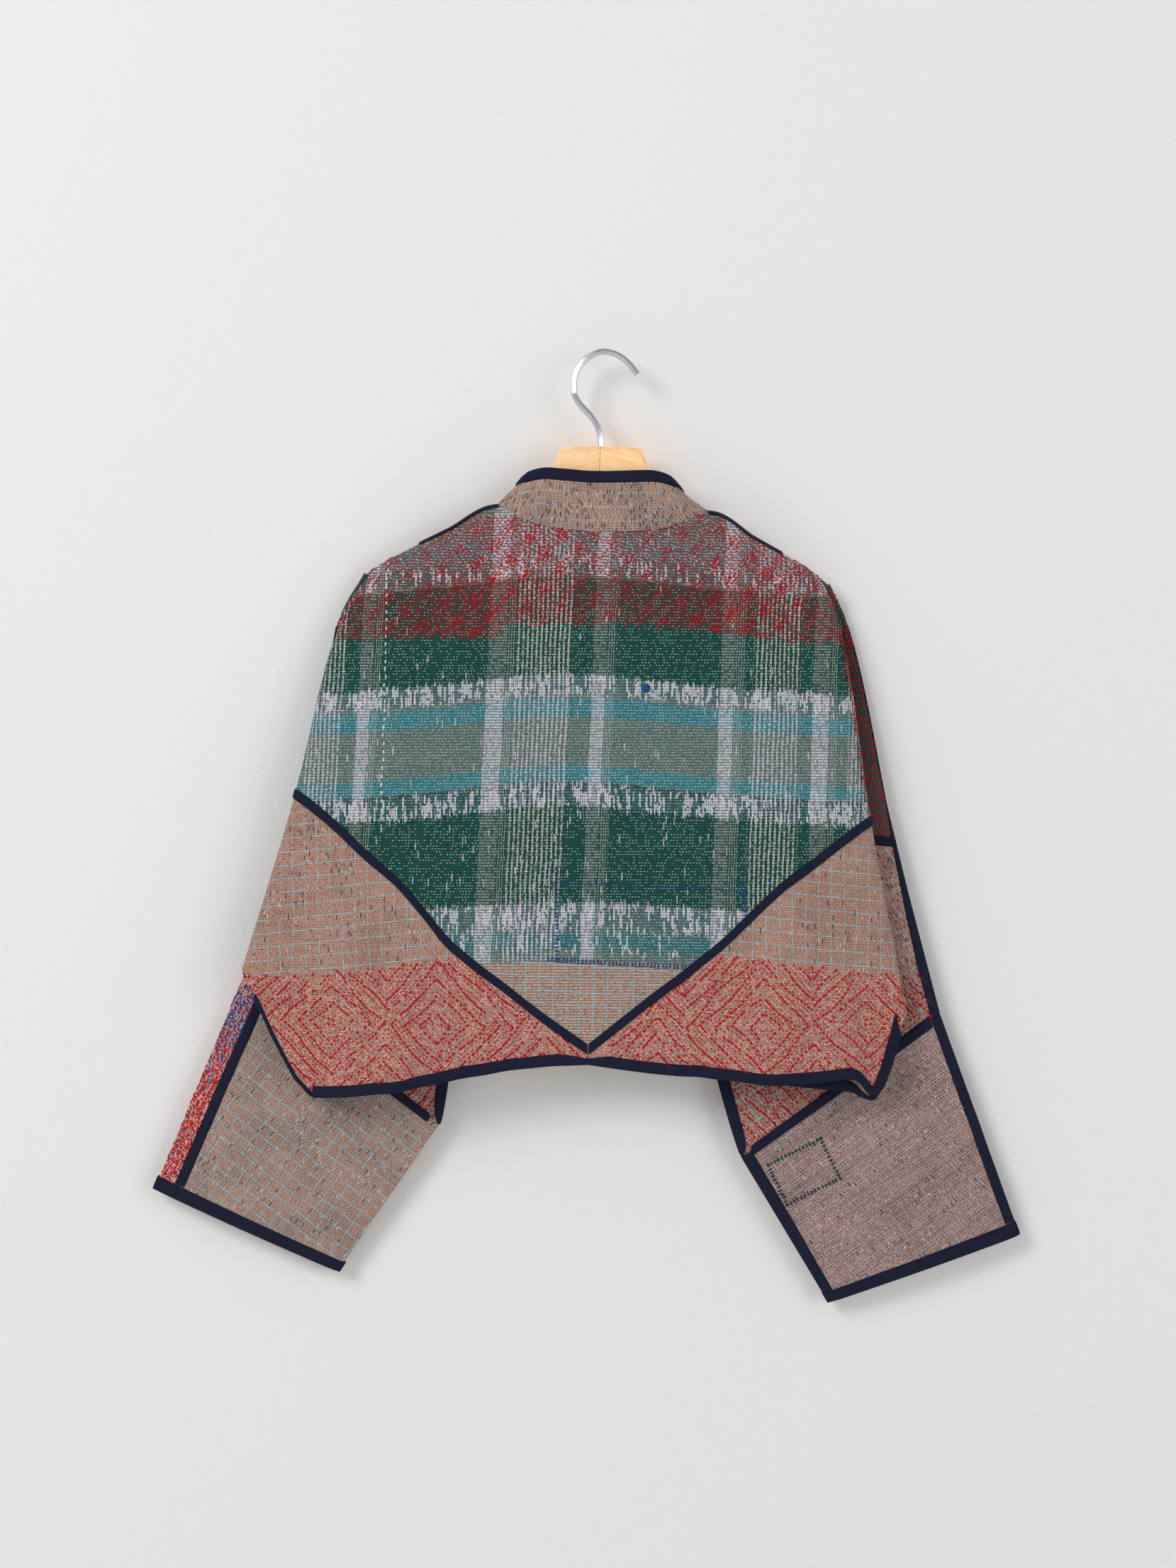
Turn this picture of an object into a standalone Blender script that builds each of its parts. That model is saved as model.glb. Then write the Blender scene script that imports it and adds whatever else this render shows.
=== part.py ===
"""A cropped kantha quilt jacket, hung by its back towards the viewer on a wooden hanger.

Millimetres in the tables, metres in the scene. The origin is the inner top of the hook, +X is the viewer's
right, +Z is up, and the jacket's back faces -Y. The cloth is one flattened tube on each side: a middle surface
that runs from the centre out to the fold, back behind itself to a valley and out again to the overarm. The back
layer lies on its viewer's side and the front layer on its other side.
"""

from collections import namedtuple

import bpy
import numpy as np

MM = 0.001
CLOTH = 2.2
SEAM_GAP = 0.3
SEAM_HALF = 0.2
JOINT_HALF = 0.5
BAND_WIDTH = 8.6
BAND_THICK = 1.2
BAND_GAP = 0.4
SLANT_LIFT = 0.4
BAND_LIFT = CLOTH / 2 + BAND_GAP + BAND_THICK / 2
EDGE_WRAP = 1.5
CLOSED = CLOTH + 1.0

SHOULDER_ROUND = 12.0
TURN_INSET = 5.0
FRONT_OPENING = 5.0
FRONT_NECK_DROP = 62.0

HOOK_WIRE = 3.0

GREEN = (0.03, 0.11, 0.08)
BEIGE = (0.45, 0.27, 0.19)
RED_STITCHED = (0.50, 0.12, 0.10)
TAUPE = (0.33, 0.25, 0.19)
NAVY = (0.010, 0.014, 0.045)
BEECH = (0.72, 0.42, 0.19)
ALUMINIUM = (0.62, 0.63, 0.65)

# Where each line down the cloth crosses the four levels, as (x, z): the neck and shoulder seam, just below
# the shoulder, the diagonal seam, and the lower edge (hem, side seam, underarm seam and joint seam).
Line = namedtuple("Line", "seam below diagonal edge")

RIGHT = {
    "centre": Line((-1, -168), (-1, -199), (-11, -643), (-11, -655)),
    "neck_mid": Line((55, -164), (55, -197), (41, -602), (48, -663)),
    "neck_point": Line((103, -148), (105, -185), (106, -551), (113, -669)),
    "shoulder_mid": Line((143, -171), (149, -206), (170, -492), (178, -674)),
    "side": Line((170, -186), (182, -226), (194, -474), (230, -669)),
    "corner": Line((188, -196), (208, -243), (219, -455), (254, -687)),
    "fold": Line((198, -202), (222, -258), (248, -434), (282, -612)),
    "valley": Line((205, -207), (224, -258), (174, -440), (102, -640)),
    "joint": Line((209, -210), (226, -258), (187, -443), (134, -746)),
    "overarm": Line((216, -218), (234, -258), (275, -454), (316, -615)),
}
LEFT = {
    "centre": Line((-1, -168), (-1, -199), (-11, -643), (-11, -655)),
    "neck_mid": Line((-53, -161), (-55, -196), (-62, -607), (-62, -657)),
    "neck_point": Line((-97, -142), (-99, -178), (-128, -554), (-128, -669)),
    "shoulder_mid": Line((-139, -163), (-146, -198), (-186, -490), (-186, -679)),
    "side": Line((-168, -177), (-188, -219), (-216, -463), (-229, -685)),
    "corner": Line((-190, -188), (-222, -243), (-246, -435), (-265, -687)),
    "fold": Line((-202, -194), (-242, -258), (-279, -409), (-329, -572)),
    "valley": Line((-210, -198), (-242, -258), (-202, -415), (-136, -626)),
    "joint": Line((-214, -201), (-243, -258), (-214, -419), (-151, -716)),
    "overarm": Line((-222, -207), (-245, -256), (-275, -422), (-332, -578)),
}

# How far back the middle surface lies at each level, and how far apart the two layers are there.
Depth = namedtuple("Depth", "seam below diagonal edge")
Reach = namedtuple("Reach", "y apart")

DEPTHS = {
    "centre": Depth(Reach(-1, 46), Reach(-1, 42), Reach(-26, 24), Reach(-26, 24)),
    "neck_mid": Depth(Reach(-1, 40), Reach(0, 36), Reach(-26, 24), Reach(-26, 24)),
    "neck_point": Depth(Reach(1, CLOSED), Reach(1, 24), Reach(-26, 24), Reach(-26, 24)),
    "shoulder_mid": Depth(Reach(3, CLOSED), Reach(3, 22), Reach(-26, 24), Reach(-26, 24)),
    "side": Depth(Reach(5, CLOSED), Reach(4, 21), Reach(-25, 20), Reach(-25, 18)),
    "corner": Depth(Reach(6, CLOSED), Reach(4, 16), Reach(-22, 14), Reach(-20, CLOSED)),
    "fold_in": Depth(Reach(8, CLOSED), Reach(2, 6), Reach(-18, 5), Reach(-17.5, CLOSED)),
    "fold": Depth(Reach(8.5, CLOSED), Reach(6, 4.6), Reach(-12.5, 4.6), Reach(-12.5, CLOSED)),
    "fold_out": Depth(Reach(9, CLOSED), Reach(10, 4.6), Reach(-7, 4.6), Reach(-8, CLOSED)),
    "valley_in": Depth(Reach(9.5, CLOSED), Reach(13, 4.6), Reach(-6, 4.6), Reach(-6, CLOSED)),
    "valley": Depth(Reach(10, CLOSED), Reach(17, 4.6), Reach(0.5, 4.6), Reach(0.5, CLOSED)),
    "valley_out": Depth(Reach(10.5, CLOSED), Reach(20, 4.6), Reach(7, 4.6), Reach(7, CLOSED)),
    "joint": Depth(Reach(11, 4), Reach(20.5, 4.6), Reach(8, 8), Reach(8, CLOSED)),
    "joint_in": Depth(Reach(11, 4), Reach(20.5, 4.6), Reach(9, 9), Reach(10, 9)),
    "arm_mid": Depth(Reach(12, 4), Reach(20.5, 4.6), Reach(11, 12), Reach(12, 18)),
    "overarm_in": Depth(Reach(12.5, 4), Reach(20.5, 4.6), Reach(12, 8), Reach(12, 10)),
    "overarm": Depth(Reach(13, 4), Reach(21, 4), Reach(12, CLOSED), Reach(12, CLOSED)),
}
STATIONS = list(DEPTHS)
LEVELS = Line._fields

# How many columns of the cloth lie between each station and the next.
COLUMNS = [2, 2, 2, 2, 1, 1, 2, 2, 2, 2, 2, 1, 1, 2, 2, 1]

# The sleeve ends below the joint seam: inner and outer end of the cuff edge, as (x, z).
Cuff = namedtuple("Cuff", "inner outer")
CUFFS = {1: Cuff((215, -882), (390, -820)), -1: Cuff((-245, -853), (-415, -777))}

# How far inside the overarm edge the last covered column lies. On the left the seam is rolled in this far.
OVERARM_INSET = {1: 9.0, -1: 24.0}
UNDERARM_INSET = 9.0
# On the back the right overarm strip shows only its edge at the diagonal seam, and all its width further down.
OVERARM_SHOWN = 0.22
OVERARM_WIDENS = 150.0

# The left side seam turns under, so that only this much of its strip lies on the viewer's side.
SIDE_TURN_LEFT = 1.6

# The shoulder strip across the rounded seam: how far down each shoulder its lines lie, and where it starts.
SHOULDER_STRIP = (1.6, 0.4)
SHOULDER_START = 0.25
CUFF_DEPTH = 13.0
CUFF_APART = 16.0

# The back hem lifts beside the right-hand corner and the front hem hangs below it there.
HEM_TURN_CLEAR = 3.5
FRONT_HEM_DROP = {("side", 1): 13.0, ("shoulder_mid", 1): 3.0, ("corner", 1): 3.0}

# The collar from the centre back round to the centre front: the share of the neck edge, and its upper edge.
Stand = namedtuple("Stand", "share upper")
COLLAR = [
    Stand(0.0, (9, -15, -112)),
    Stand(0.23, (45, -15, -111)),
    Stand(0.375, (66, -9, -117)),
    Stand(0.45, (71, 2, -125)),
    Stand(0.58, (60, 11, -141)),
    Stand(0.79, (38, 16, -170)),
    Stand(1.0, (5, 19, -192)),
]
COLLAR_LEFT_LIFT = 7.0
NECK_GAP = 1.2

# The hook's centre line from its cut tip to the wood.
HOOK_ROUTE = [
    (35, -16), (25, -4), (14, 3), (5, 5), (0, 4.5), (-9, 0.5), (-16, -5), (-22, -14), (-24, -23), (-24, -32),
    (-20, -42), (-13, -50), (-6, -58), (-1, -67), (1, -75), (1.5, -83.7),
]
HOOK_DROP = 1.5

# The block that stands in the collar: the hanger's upper edge there, as (x, top), from left to right.
BLOCK = [
    (-62, -131), (-54, -122), (-44, -109), (-40, -96), (-36, -88), (-26, -85.6),
    (28, -85.6), (39, -88), (43, -98), (47, -111), (57, -125), (66, -134),
]
BLOCK_MIDDLE = -1.0

# The arms, mirrored: how far out, their half thickness and depth, and how far they lie under the seam.
Arm = namedtuple("Arm", "x half depth under")
ARMS = [
    Arm(84, 7.4, 40, 7.0), Arm(103, 7.4, 36, 5.6), Arm(140, 8, 30, 2.4), Arm(165, 8, 26, 2.6),
    Arm(178, 7, 22, 3.0), Arm(190, 5, 15, 4.0), Arm(196, 3, 8, 6.0),
]
BLOCK_DEPTH = 50.0
BLOCK_HALF = 8.0


def smooth(knots, values, places):
    """Values between knots, on a curve that never swings past them."""
    knots = np.asarray(knots, float)
    values = np.asarray(values, float)
    gap = np.diff(knots)
    slope = np.diff(values) / gap
    tangent = np.zeros_like(values)
    tangent[0] = slope[0]
    tangent[-1] = slope[-1]
    for i in range(1, len(values) - 1):
        if slope[i - 1] * slope[i] > 0:
            tangent[i] = 2 * slope[i - 1] * slope[i] / (slope[i - 1] + slope[i])
    at = np.clip(np.searchsorted(knots, places, side="right") - 1, 0, len(gap) - 1)
    t = (places - knots[at]) / gap[at]
    start = (1 + 2 * t) * (1 - t) ** 2 * values[at] + t * (1 - t) ** 2 * gap[at] * tangent[at]
    end = t * t * (3 - 2 * t) * values[at + 1] + t * t * (t - 1) * gap[at] * tangent[at + 1]
    return start + end


def towards(start, end, distance):
    """The point that lies a distance from start on the way to end, at most 0.4 of the way."""
    start = np.asarray(start, float)
    step = np.asarray(end, float) - start
    length = max(np.hypot(*step), 1e-6)
    return start + step * min(distance / length, 0.4)


def column_places():
    """The station numbers of all columns, as fractions between stations."""
    places = [0.0]
    for i, count in enumerate(COLUMNS):
        places.extend(i + (k + 1) / count for k in range(count))
    return np.array(places)


PLACES = column_places()


def column_of(station):
    return int(np.argmin(abs(PLACES - STATIONS.index(station))))


def level_points(side, level):
    """Where each station lies at one level, with the turns and the edge insets worked out."""
    table = RIGHT if side > 0 else LEFT
    line = {name: np.array(getattr(row, level), float) for name, row in table.items()}
    line["fold_in"] = towards(line["fold"], line["corner"], TURN_INSET)
    line["fold_out"] = towards(line["fold"], line["valley"], TURN_INSET)
    line["valley_in"] = towards(line["valley"], line["fold"], TURN_INSET)
    line["valley_out"] = towards(line["valley"], line["joint"], TURN_INSET)
    line["joint_in"] = towards(line["joint"], line["overarm"], UNDERARM_INSET)
    line["arm_mid"] = (line["joint"] + line["overarm"]) / 2
    line["overarm_in"] = towards(line["overarm"], line["joint"], OVERARM_INSET[side])
    return np.array([line[name] for name in STATIONS])


def level_columns(side, level):
    """Each column's (x, y, z, apart) at one level."""
    points = level_points(side, level)
    reach = np.array([getattr(DEPTHS[name], level) for name in STATIONS], float)
    numbers = np.arange(len(STATIONS))
    return np.stack(
        [
            smooth(numbers, points[:, 0], PLACES),
            smooth(numbers, reach[:, 0], PLACES),
            smooth(numbers, points[:, 1], PLACES),
            smooth(numbers, reach[:, 1], PLACES),
        ],
        axis=1,
    )


def column_tables(side):
    """The four levels stacked, and how far down each column each level lies."""
    levels = np.array([level_columns(side, level) for level in LEVELS])
    steps = np.hypot(np.diff(levels[:, :, 0], axis=0), np.diff(levels[:, :, 2], axis=0))
    down = np.concatenate([np.zeros((1, len(PLACES))), np.cumsum(np.maximum(steps, 0.5), axis=0)])
    return levels, down


TABLES = {side: column_tables(side) for side in (1, -1)}


def middle(side, down):
    """The middle surface at each distance down each column: rows by columns by (x, y, z, apart)."""
    levels, knots = TABLES[side]
    found = np.zeros(down.shape + (4,))
    for j in range(down.shape[1]):
        for k in range(4):
            found[:, j, k] = smooth(knots[:, j], levels[:, j, k], down[:, j])
        open_by = np.clip(down[:, j] / SHOULDER_ROUND, 0, 1)
        rounding = np.sqrt(1 - (1 - open_by) ** 2)
        above = down[:, j] < knots[1, j]
        seam, below = levels[0, j, 3], levels[1, j, 3]
        found[above, j, 3] = seam + (below - seam) * rounding[above]
    return found


def normals(points):
    """Unit normals of a grid, towards the viewer where its rows run to +X and its columns run down."""
    across = np.gradient(points, axis=1)
    along = np.gradient(points, axis=0)
    facing = np.cross(along, across)
    return facing / np.maximum(np.linalg.norm(facing, axis=2, keepdims=True), 1e-9)


def layer(side, down, front=False, moved_out=0.0):
    """The back or front layer's middle points, moved out of its outer face by a distance if asked."""
    grid = middle(side, down)
    outward = normals(grid[:, :, :3]) * side
    half = grid[:, :, 3:] / 2
    points = grid[:, :, :3] + outward * half * (-1 if front else 1)
    if front:
        points[:, :, 2] -= front_drop(side, down)
    if moved_out:
        points = points + normals(points) * side * moved_out * (-1 if front else 1)
    return points


def front_drop(side, down):
    """How far the front layer hangs below the back layer beside the hem's corner."""
    _, knots = TABLES[side]
    drops = [FRONT_HEM_DROP.get((name, side), 0.0) for name in STATIONS]
    drop = smooth(np.arange(len(STATIONS)), drops, PLACES)
    reach = np.clip((down - knots[2]) / np.maximum(knots[3] - knots[2], 1), 0, 1)
    return drop * reach**2


def spread(start, end, count):
    """count rows of distances from start to end, both arrays over the columns."""
    share = np.linspace(0, 1, count)[:, None]
    return start + (end - start) * share


def allowance(length, most):
    """A seam's covered strip, narrower where the piece comes to a point."""
    return np.minimum(most, 0.3 * length)


def yoke_rows(side, from_seam=0.0):
    _, knots = TABLES[side]
    top = [np.full(len(PLACES), d) for d in (from_seam, 1.0, 3.2, 7.0, SHOULDER_ROUND)]
    seam = knots[2]
    body = spread(knots[1], seam - BAND_WIDTH / 2 - 0.4, 7)
    return np.vstack([top, body, [seam - SEAM_HALF]])


def lower_rows(side, count=6):
    _, knots = TABLES[side]
    length = knots[3] - knots[2]
    first = knots[2] + allowance(length, BAND_WIDTH / 2 + 0.4)
    last = knots[3] - allowance(length, BAND_WIDTH + 0.4)
    return np.vstack([[knots[2] + SEAM_HALF], spread(first, last, count), [knots[3] - SEAM_HALF]])


def new_material(name, colour, roughness, metallic=0.0):
    found = bpy.data.materials.get(name)
    if found:
        return found
    material = bpy.data.materials.new(name)
    material.use_nodes = True
    shader = material.node_tree.nodes["Principled BSDF"]
    shader.inputs["Base Color"].default_value = (*colour, 1)
    shader.inputs["Roughness"].default_value = roughness
    shader.inputs["Metallic"].default_value = metallic
    material.diffuse_color = (*colour, 1)
    return material


def new_object(name, data, material):
    made = bpy.data.objects.new(name, data)
    made.data.materials.append(material)
    PARTS.objects.link(made)
    return made


def sheet(name, grid, material, thickness=CLOTH, ring=False):
    """A wall of even thickness on a grid of points, closed round its columns if it is a ring."""
    rows, columns = grid.shape[:2]
    faces = []
    for i in range(rows - 1):
        for j in range(columns if ring else columns - 1):
            k = (j + 1) % columns
            faces.append((i * columns + j, (i + 1) * columns + j, (i + 1) * columns + k, i * columns + k))
    mesh = bpy.data.meshes.new(name)
    mesh.from_pydata((grid.reshape(-1, 3) * MM).tolist(), [], faces)
    mesh.validate()
    made = new_object(name, mesh, material)
    wall = made.modifiers.new("Wall", "SOLIDIFY")
    wall.thickness = thickness * MM
    wall.offset = 0
    wall.use_rim = True
    mesh.shade_smooth()
    return made


def mirrored(right, left):
    """One grid from the left-hand overarm to the right-hand one."""
    return np.concatenate([left[:, :0:-1], right], axis=1)


def make_yoke():
    """The plaid back, one quilt from overarm to overarm with a V-shaped lower edge."""
    sheet("back_yoke", mirrored(layer(1, yoke_rows(1)), layer(-1, yoke_rows(-1))), CLOTHS["green"])


def make_gussets():
    """The lower back panels, which run round the fold into the upper sleeves."""
    for side, word in SIDES.items():
        points = layer(side, lower_rows(side))
        points[:, 0, 0] += side * SEAM_GAP
        sheet(f"gusset_back_{word}", points, CLOTHS["red"])


def front_rows(side):
    """The front's rows from the neck and shoulder seam to the hem, lowered to the neckline in the middle."""
    _, knots = TABLES[side]
    top = [np.full(len(PLACES), d) for d in (0.0, 1.0, 3.2, 7.0, SHOULDER_ROUND)]
    body = spread(knots[1], knots[3] - BAND_WIDTH - 0.4, 12)
    rows = np.vstack([top, body, [knots[3] - SEAM_HALF]])
    neck = column_of("neck_point")
    share = 1 - np.arange(neck) / neck
    drop = np.zeros(len(PLACES))
    drop[:neck] = FRONT_NECK_DROP * share**0.8
    end = knots[3]
    return drop + rows * (end - drop) / end


def front_points(side, rows, moved_out=0.0):
    points = layer(side, rows, front=True, moved_out=moved_out)
    neck = column_of("neck_point")
    share = np.zeros(len(PLACES))
    share[:neck] = 1 - np.arange(neck) / neck
    centre = points[:, :1, 0]
    points[:, :, 0] += (side * FRONT_OPENING - centre) * share
    return points


def make_fronts():
    """Each front is one piece from the neck and shoulder to the hem, with the front of its upper sleeve."""
    for side, word in SIDES.items():
        sheet(f"front_{word}", front_points(side, front_rows(side)), CLOTHS["beige"])


def cuff_rows(side, shares):
    """The sleeve end's middle surface as (x, y, z, apart), at shares of its length."""
    levels, _ = TABLES[side]
    first = column_of("joint")
    top = levels[3, first:].copy()
    across = np.linspace(0, 1, len(top))
    width = np.hypot(top[:, 0] - top[0, 0], top[:, 2] - top[0, 2])
    across = width / width[-1]
    cuff = CUFFS[side]
    end = np.empty_like(top)
    for axis, k in ((0, 0), (2, 1)):
        end[:, axis] = cuff.inner[k] + (cuff.outer[k] - cuff.inner[k]) * across
    end[:, 1] = CUFF_DEPTH
    end[:, 3] = CLOSED + (top[:, 3] - CLOSED) * (CUFF_APART - CLOSED) / (18 - CLOSED)
    return top + (end - top) * np.asarray(shares)[:, None, None], across


def cuff_layers(side, shares):
    """The back and front layers of the sleeve end, and where their columns lie across it."""
    grid, across = cuff_rows(side, shares)
    outward = normals(grid[:, :, :3]) * side
    half = outward * grid[:, :, 3:] / 2
    return grid[:, :, :3] + half, grid[:, :, :3] - half, across


def cuff_length(side):
    joint = TABLES[side][0][3, column_of("joint")]
    cuff = CUFFS[side]
    return np.hypot(cuff.inner[0] - joint[0], cuff.inner[1] - joint[2])


def cuff_shares(side):
    """Rows down the sleeve end, with a covered strip at the joint and at the cuff."""
    length = cuff_length(side)
    first = (BAND_WIDTH / 2 + 0.4) / length
    last = 1 - (BAND_WIDTH + 0.9) / length
    return np.concatenate([[JOINT_HALF / length], np.linspace(first, last, 5), [1 - SEAM_HALF / length]])


def make_cuffs():
    """The sleeve ends; on the left each piece rolls round one edge to a seam on the other's side."""
    for side, word in SIDES.items():
        back, front, _ = cuff_layers(side, cuff_shares(side))
        if side < 0:
            seam = back[:, -2:-1]
            gap = unit(back[:, -1:] - seam) * SEAM_HALF
            hidden = front[:, 1:2]
            space = unit(front[:, :1] - hidden) * JOINT_HALF
            rolled = [front[:, 2:], back[:, :-2:-1], seam + gap]
            back = np.concatenate([hidden + space, front[:, :1], back[:, :-2], seam - gap], axis=1)
            front = np.concatenate([hidden - space, *rolled], axis=1)
        sheet(f"cuff_back_{word}", back, CLOTHS["taupe"])
        sheet(f"cuff_front_{word}", front, CLOTHS["beige"])


def unit(vectors):
    return vectors / np.maximum(np.linalg.norm(vectors, axis=-1, keepdims=True), 1e-9)


def at_depth(inner, edge, depth):
    """Points on the cloth between two of its lines, at a depth from the edge."""
    length = np.maximum(np.linalg.norm(inner - edge, axis=-1, keepdims=True), 1e-9)
    return edge + (inner - edge) * np.minimum(depth / length, 1)


def past_the_ends(rows):
    """The rows with their first and last point moved out past the cloth, for a strip round its edge."""
    moved = rows.copy()
    moved[:, 0] += unit(rows[:, 0] - rows[:, 1]) * BAND_LIFT
    moved[:, -1] += unit(rows[:, -1] - rows[:, -2]) * BAND_LIFT
    return moved


def flat_band(name, rows, outward):
    """A bias strip that lies on a seam, from rows of the cloth's points moved out."""
    points = rows + normals(rows) * BAND_LIFT * outward
    sheet(name, points, CLOTHS["navy"], BAND_THICK)


def edge_frame(inner, edge, facing):
    """The cloth's outward normal at its edge, and the way from the edge straight in along the cloth."""
    out = normals(np.stack([inner, edge]))[1] * facing
    inward = unit(np.cross(out, np.gradient(edge, axis=0)))
    inward *= np.sign(np.sum(inward * (inner - edge), axis=-1, keepdims=True))
    return out, inward


def folded_rows(inner, edge, facing, lift=BAND_LIFT):
    """A strip's outer face, its fold past the edge and its turn over the cloth's end."""
    out, inward = edge_frame(inner, edge, facing)
    wrap = -inward * EDGE_WRAP
    return np.stack([inner + out * lift, edge + out * lift + wrap, edge - out * BAND_THICK / 2 + wrap])


def joined_rows(back, front, facing, lift=BAND_LIFT):
    """A strip over two layers' edges together, from (inner, edge) of the back and of the front."""
    out, inward = edge_frame(*back, facing)
    over, within = edge_frame(*front, -facing)
    return np.stack(
        [
            back[0] + out * lift,
            back[1] + out * lift - inward * EDGE_WRAP,
            front[1] + over * lift - within * EDGE_WRAP,
            front[0] + over * lift,
        ]
    )


def navy(name, rows, ring=False):
    sheet(name, rows, CLOTHS["navy"], BAND_THICK, ring)


def neck_line(side):
    """The panels' neck edge from the centre back over the shoulder to the centre front."""
    neck = column_of("neck_point")
    back = layer(side, yoke_rows(side)[:2])[0, : neck + 1]
    front = front_points(side, front_rows(side)[:2])[0, :neck]
    return np.concatenate([back, front[::-1]])


def points_along(line, shares):
    """The points at shares of a line's length."""
    length = np.concatenate([[0], np.cumsum(np.linalg.norm(np.diff(line, axis=0), axis=1))])
    return np.stack([np.interp(shares * length[-1], length, line[:, k]) for k in range(3)], axis=1)


def make_collar():
    """The stand collar, a leaning band sewn to the neck's edge, with its ends at the centre front."""
    numbers = np.arange(len(COLLAR))
    places = np.linspace(0, len(COLLAR) - 1, 19)
    shares = np.interp(places, numbers, [row.share for row in COLLAR])
    upper = np.array([row.upper for row in COLLAR])
    halves = {}
    for side in SIDES:
        top = np.stack([smooth(numbers, upper[:, k], places) for k in range(3)], axis=1) * (side, 1, 1)
        if side < 0:
            top[:, 2] += COLLAR_LEFT_LIFT * np.clip(places / 3, 0, 1)
        foot = points_along(neck_line(side), shares)
        foot += unit(top - foot) * NECK_GAP
        halves[side] = np.stack([top + (foot - top) * share for share in (0.0, 0.18, 0.6, 1.0)])
    grid = np.concatenate([halves[-1][:, :0:-1], halves[1]], axis=1)
    sheet("collar", grid, CLOTHS["taupe"])
    navy("binding_collar", folded_rows(grid[1], grid[0], -1, BAND_LIFT + 0.4))


def make_seam_bands(side, word):
    """The strips on the diagonal seam: round the body to the valley, and round the arm."""
    _, knots = TABLES[side]
    half = BAND_WIDTH / 2
    rows = np.vstack([knots[2] - half, knots[2], knots[2] + allowance(knots[3] - knots[2], half)])
    seam = layer(side, rows)
    seam[:, 0, 0] += side * 0.8
    flat_band(f"binding_diagonal_{word}", seam[:, : column_of("valley_in")], side)
    shown = OVERARM_SHOWN if side > 0 else 1.0
    end = at_depth(seam[:, -2], seam[:, -1], BAND_WIDTH * shown + 2 * JOINT_HALF)
    arm = np.concatenate([seam[:, column_of("valley_out") : -1], end[:, None]], axis=1)
    flat_band(f"binding_arm_{word}", arm, side)


def make_shoulder_bands():
    """The narrow strips along the shoulder seams, over their rounded tops."""
    for side, word in SIDES.items():
        levels, _ = TABLES[side]
        first, last = column_of("neck_point"), column_of("side")
        places = np.concatenate([[first + SHOULDER_START], np.arange(first + 1, last + 1)])
        x, y, z, seam = (np.interp(places, np.arange(len(PLACES)), levels[0, :, k]) for k in range(4))
        below = np.interp(places, np.arange(len(PLACES)), levels[1, :, 3])
        lift = (BAND_LIFT + SLANT_LIFT) * np.hypot(1, np.gradient(z) / np.gradient(x))
        rows = []
        for down, way in [(d, -1) for d in SHOULDER_STRIP] + [(0, 0)] + [(d, 1) for d in SHOULDER_STRIP[::-1]]:
            up = 1 - down / SHOULDER_ROUND
            out = np.sqrt(1 - up**2)
            half = (seam + (below - seam) * out) / 2 * abs(way)
            rows.append(np.stack([x, y + way * (half + out * lift), z - down + up * lift], axis=1))
        navy(f"binding_shoulder_{word}", np.stack(rows))


def edge_rows(side):
    """Distances down the columns to a strip's inner line and to the cloth's lower edge."""
    _, knots = TABLES[side]
    return np.vstack([knots[3] - allowance(knots[3] - knots[2], BAND_WIDTH), knots[3] - SEAM_HALF])


def slanted_rows(side):
    """The same for an edge that crosses its columns at a slant, so that the strip keeps its width."""
    levels, knots = TABLES[side]
    edge = levels[3][:, [0, 2]]
    column = edge - levels[2][:, [0, 2]]
    tangent = np.gradient(edge, axis=0)
    crossed = abs(column[:, 0] * tangent[:, 1] - column[:, 1] * tangent[:, 0])
    slant = crossed / np.maximum(np.hypot(*column.T) * np.hypot(*tangent.T), 1e-9)
    return np.vstack([knots[3] - BAND_WIDTH / np.clip(slant, 0.4, 1), knots[3] - SEAM_HALF])


def between(rows, first, last, stop):
    """The columns from just past one to a share of the way to another."""
    start = rows[:, first : first + 1] * 0.9 + rows[:, first + 1 : first + 2] * 0.1
    end = rows[:, last : last + 1] * stop + rows[:, last - 1 : last] * (1 - stop)
    return tuple(np.concatenate([start, rows[:, first + 1 : last], end], axis=1))


def make_hem_bands():
    """The strips on the hems of the back and the fronts, and on the side and underarm seams."""
    backs = {}
    for side, word in SIDES.items():
        corner = column_of("corner")
        back = layer(side, edge_rows(side))
        front = front_points(side, edge_rows(side))
        backs[side] = back[:, : corner + 1]
        hem = front[:, : corner + 1]
        if side > 0:
            _, knots = TABLES[side]
            low = front_drop(side, knots[3])[: corner + 1] - HEM_TURN_CLEAR
            turned = at_depth(*hem, np.clip(low, EDGE_WRAP, BAND_WIDTH)[:, None])
            navy(f"binding_hem_front_{word}", joined_rows(hem, (turned, hem[1]), -side))
        else:
            navy(f"binding_hem_front_{word}", folded_rows(*hem, -side))
        slanted = layer(side, slanted_rows(side))
        beyond = layer(side, slanted_rows(side), front=True)
        lift = BAND_LIFT + SLANT_LIFT
        for name, start, end, stop in (
            ("side", corner, column_of("fold_in"), 0.9),
            ("underarm", column_of("valley_out"), column_of("joint"), 0.95),
        ):
            back_rows = between(slanted, start, end, stop)
            if name == "side" and side < 0:
                back_rows = (at_depth(*back_rows, SIDE_TURN_LEFT), back_rows[1])
            facing_rows = between(beyond, start, end, stop)
            navy(f"binding_{name}_{word}", joined_rows(back_rows, facing_rows, side, lift))
    both = mirrored(backs[1], backs[-1])
    navy("binding_hem_back", folded_rows(*both, 1))


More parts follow.
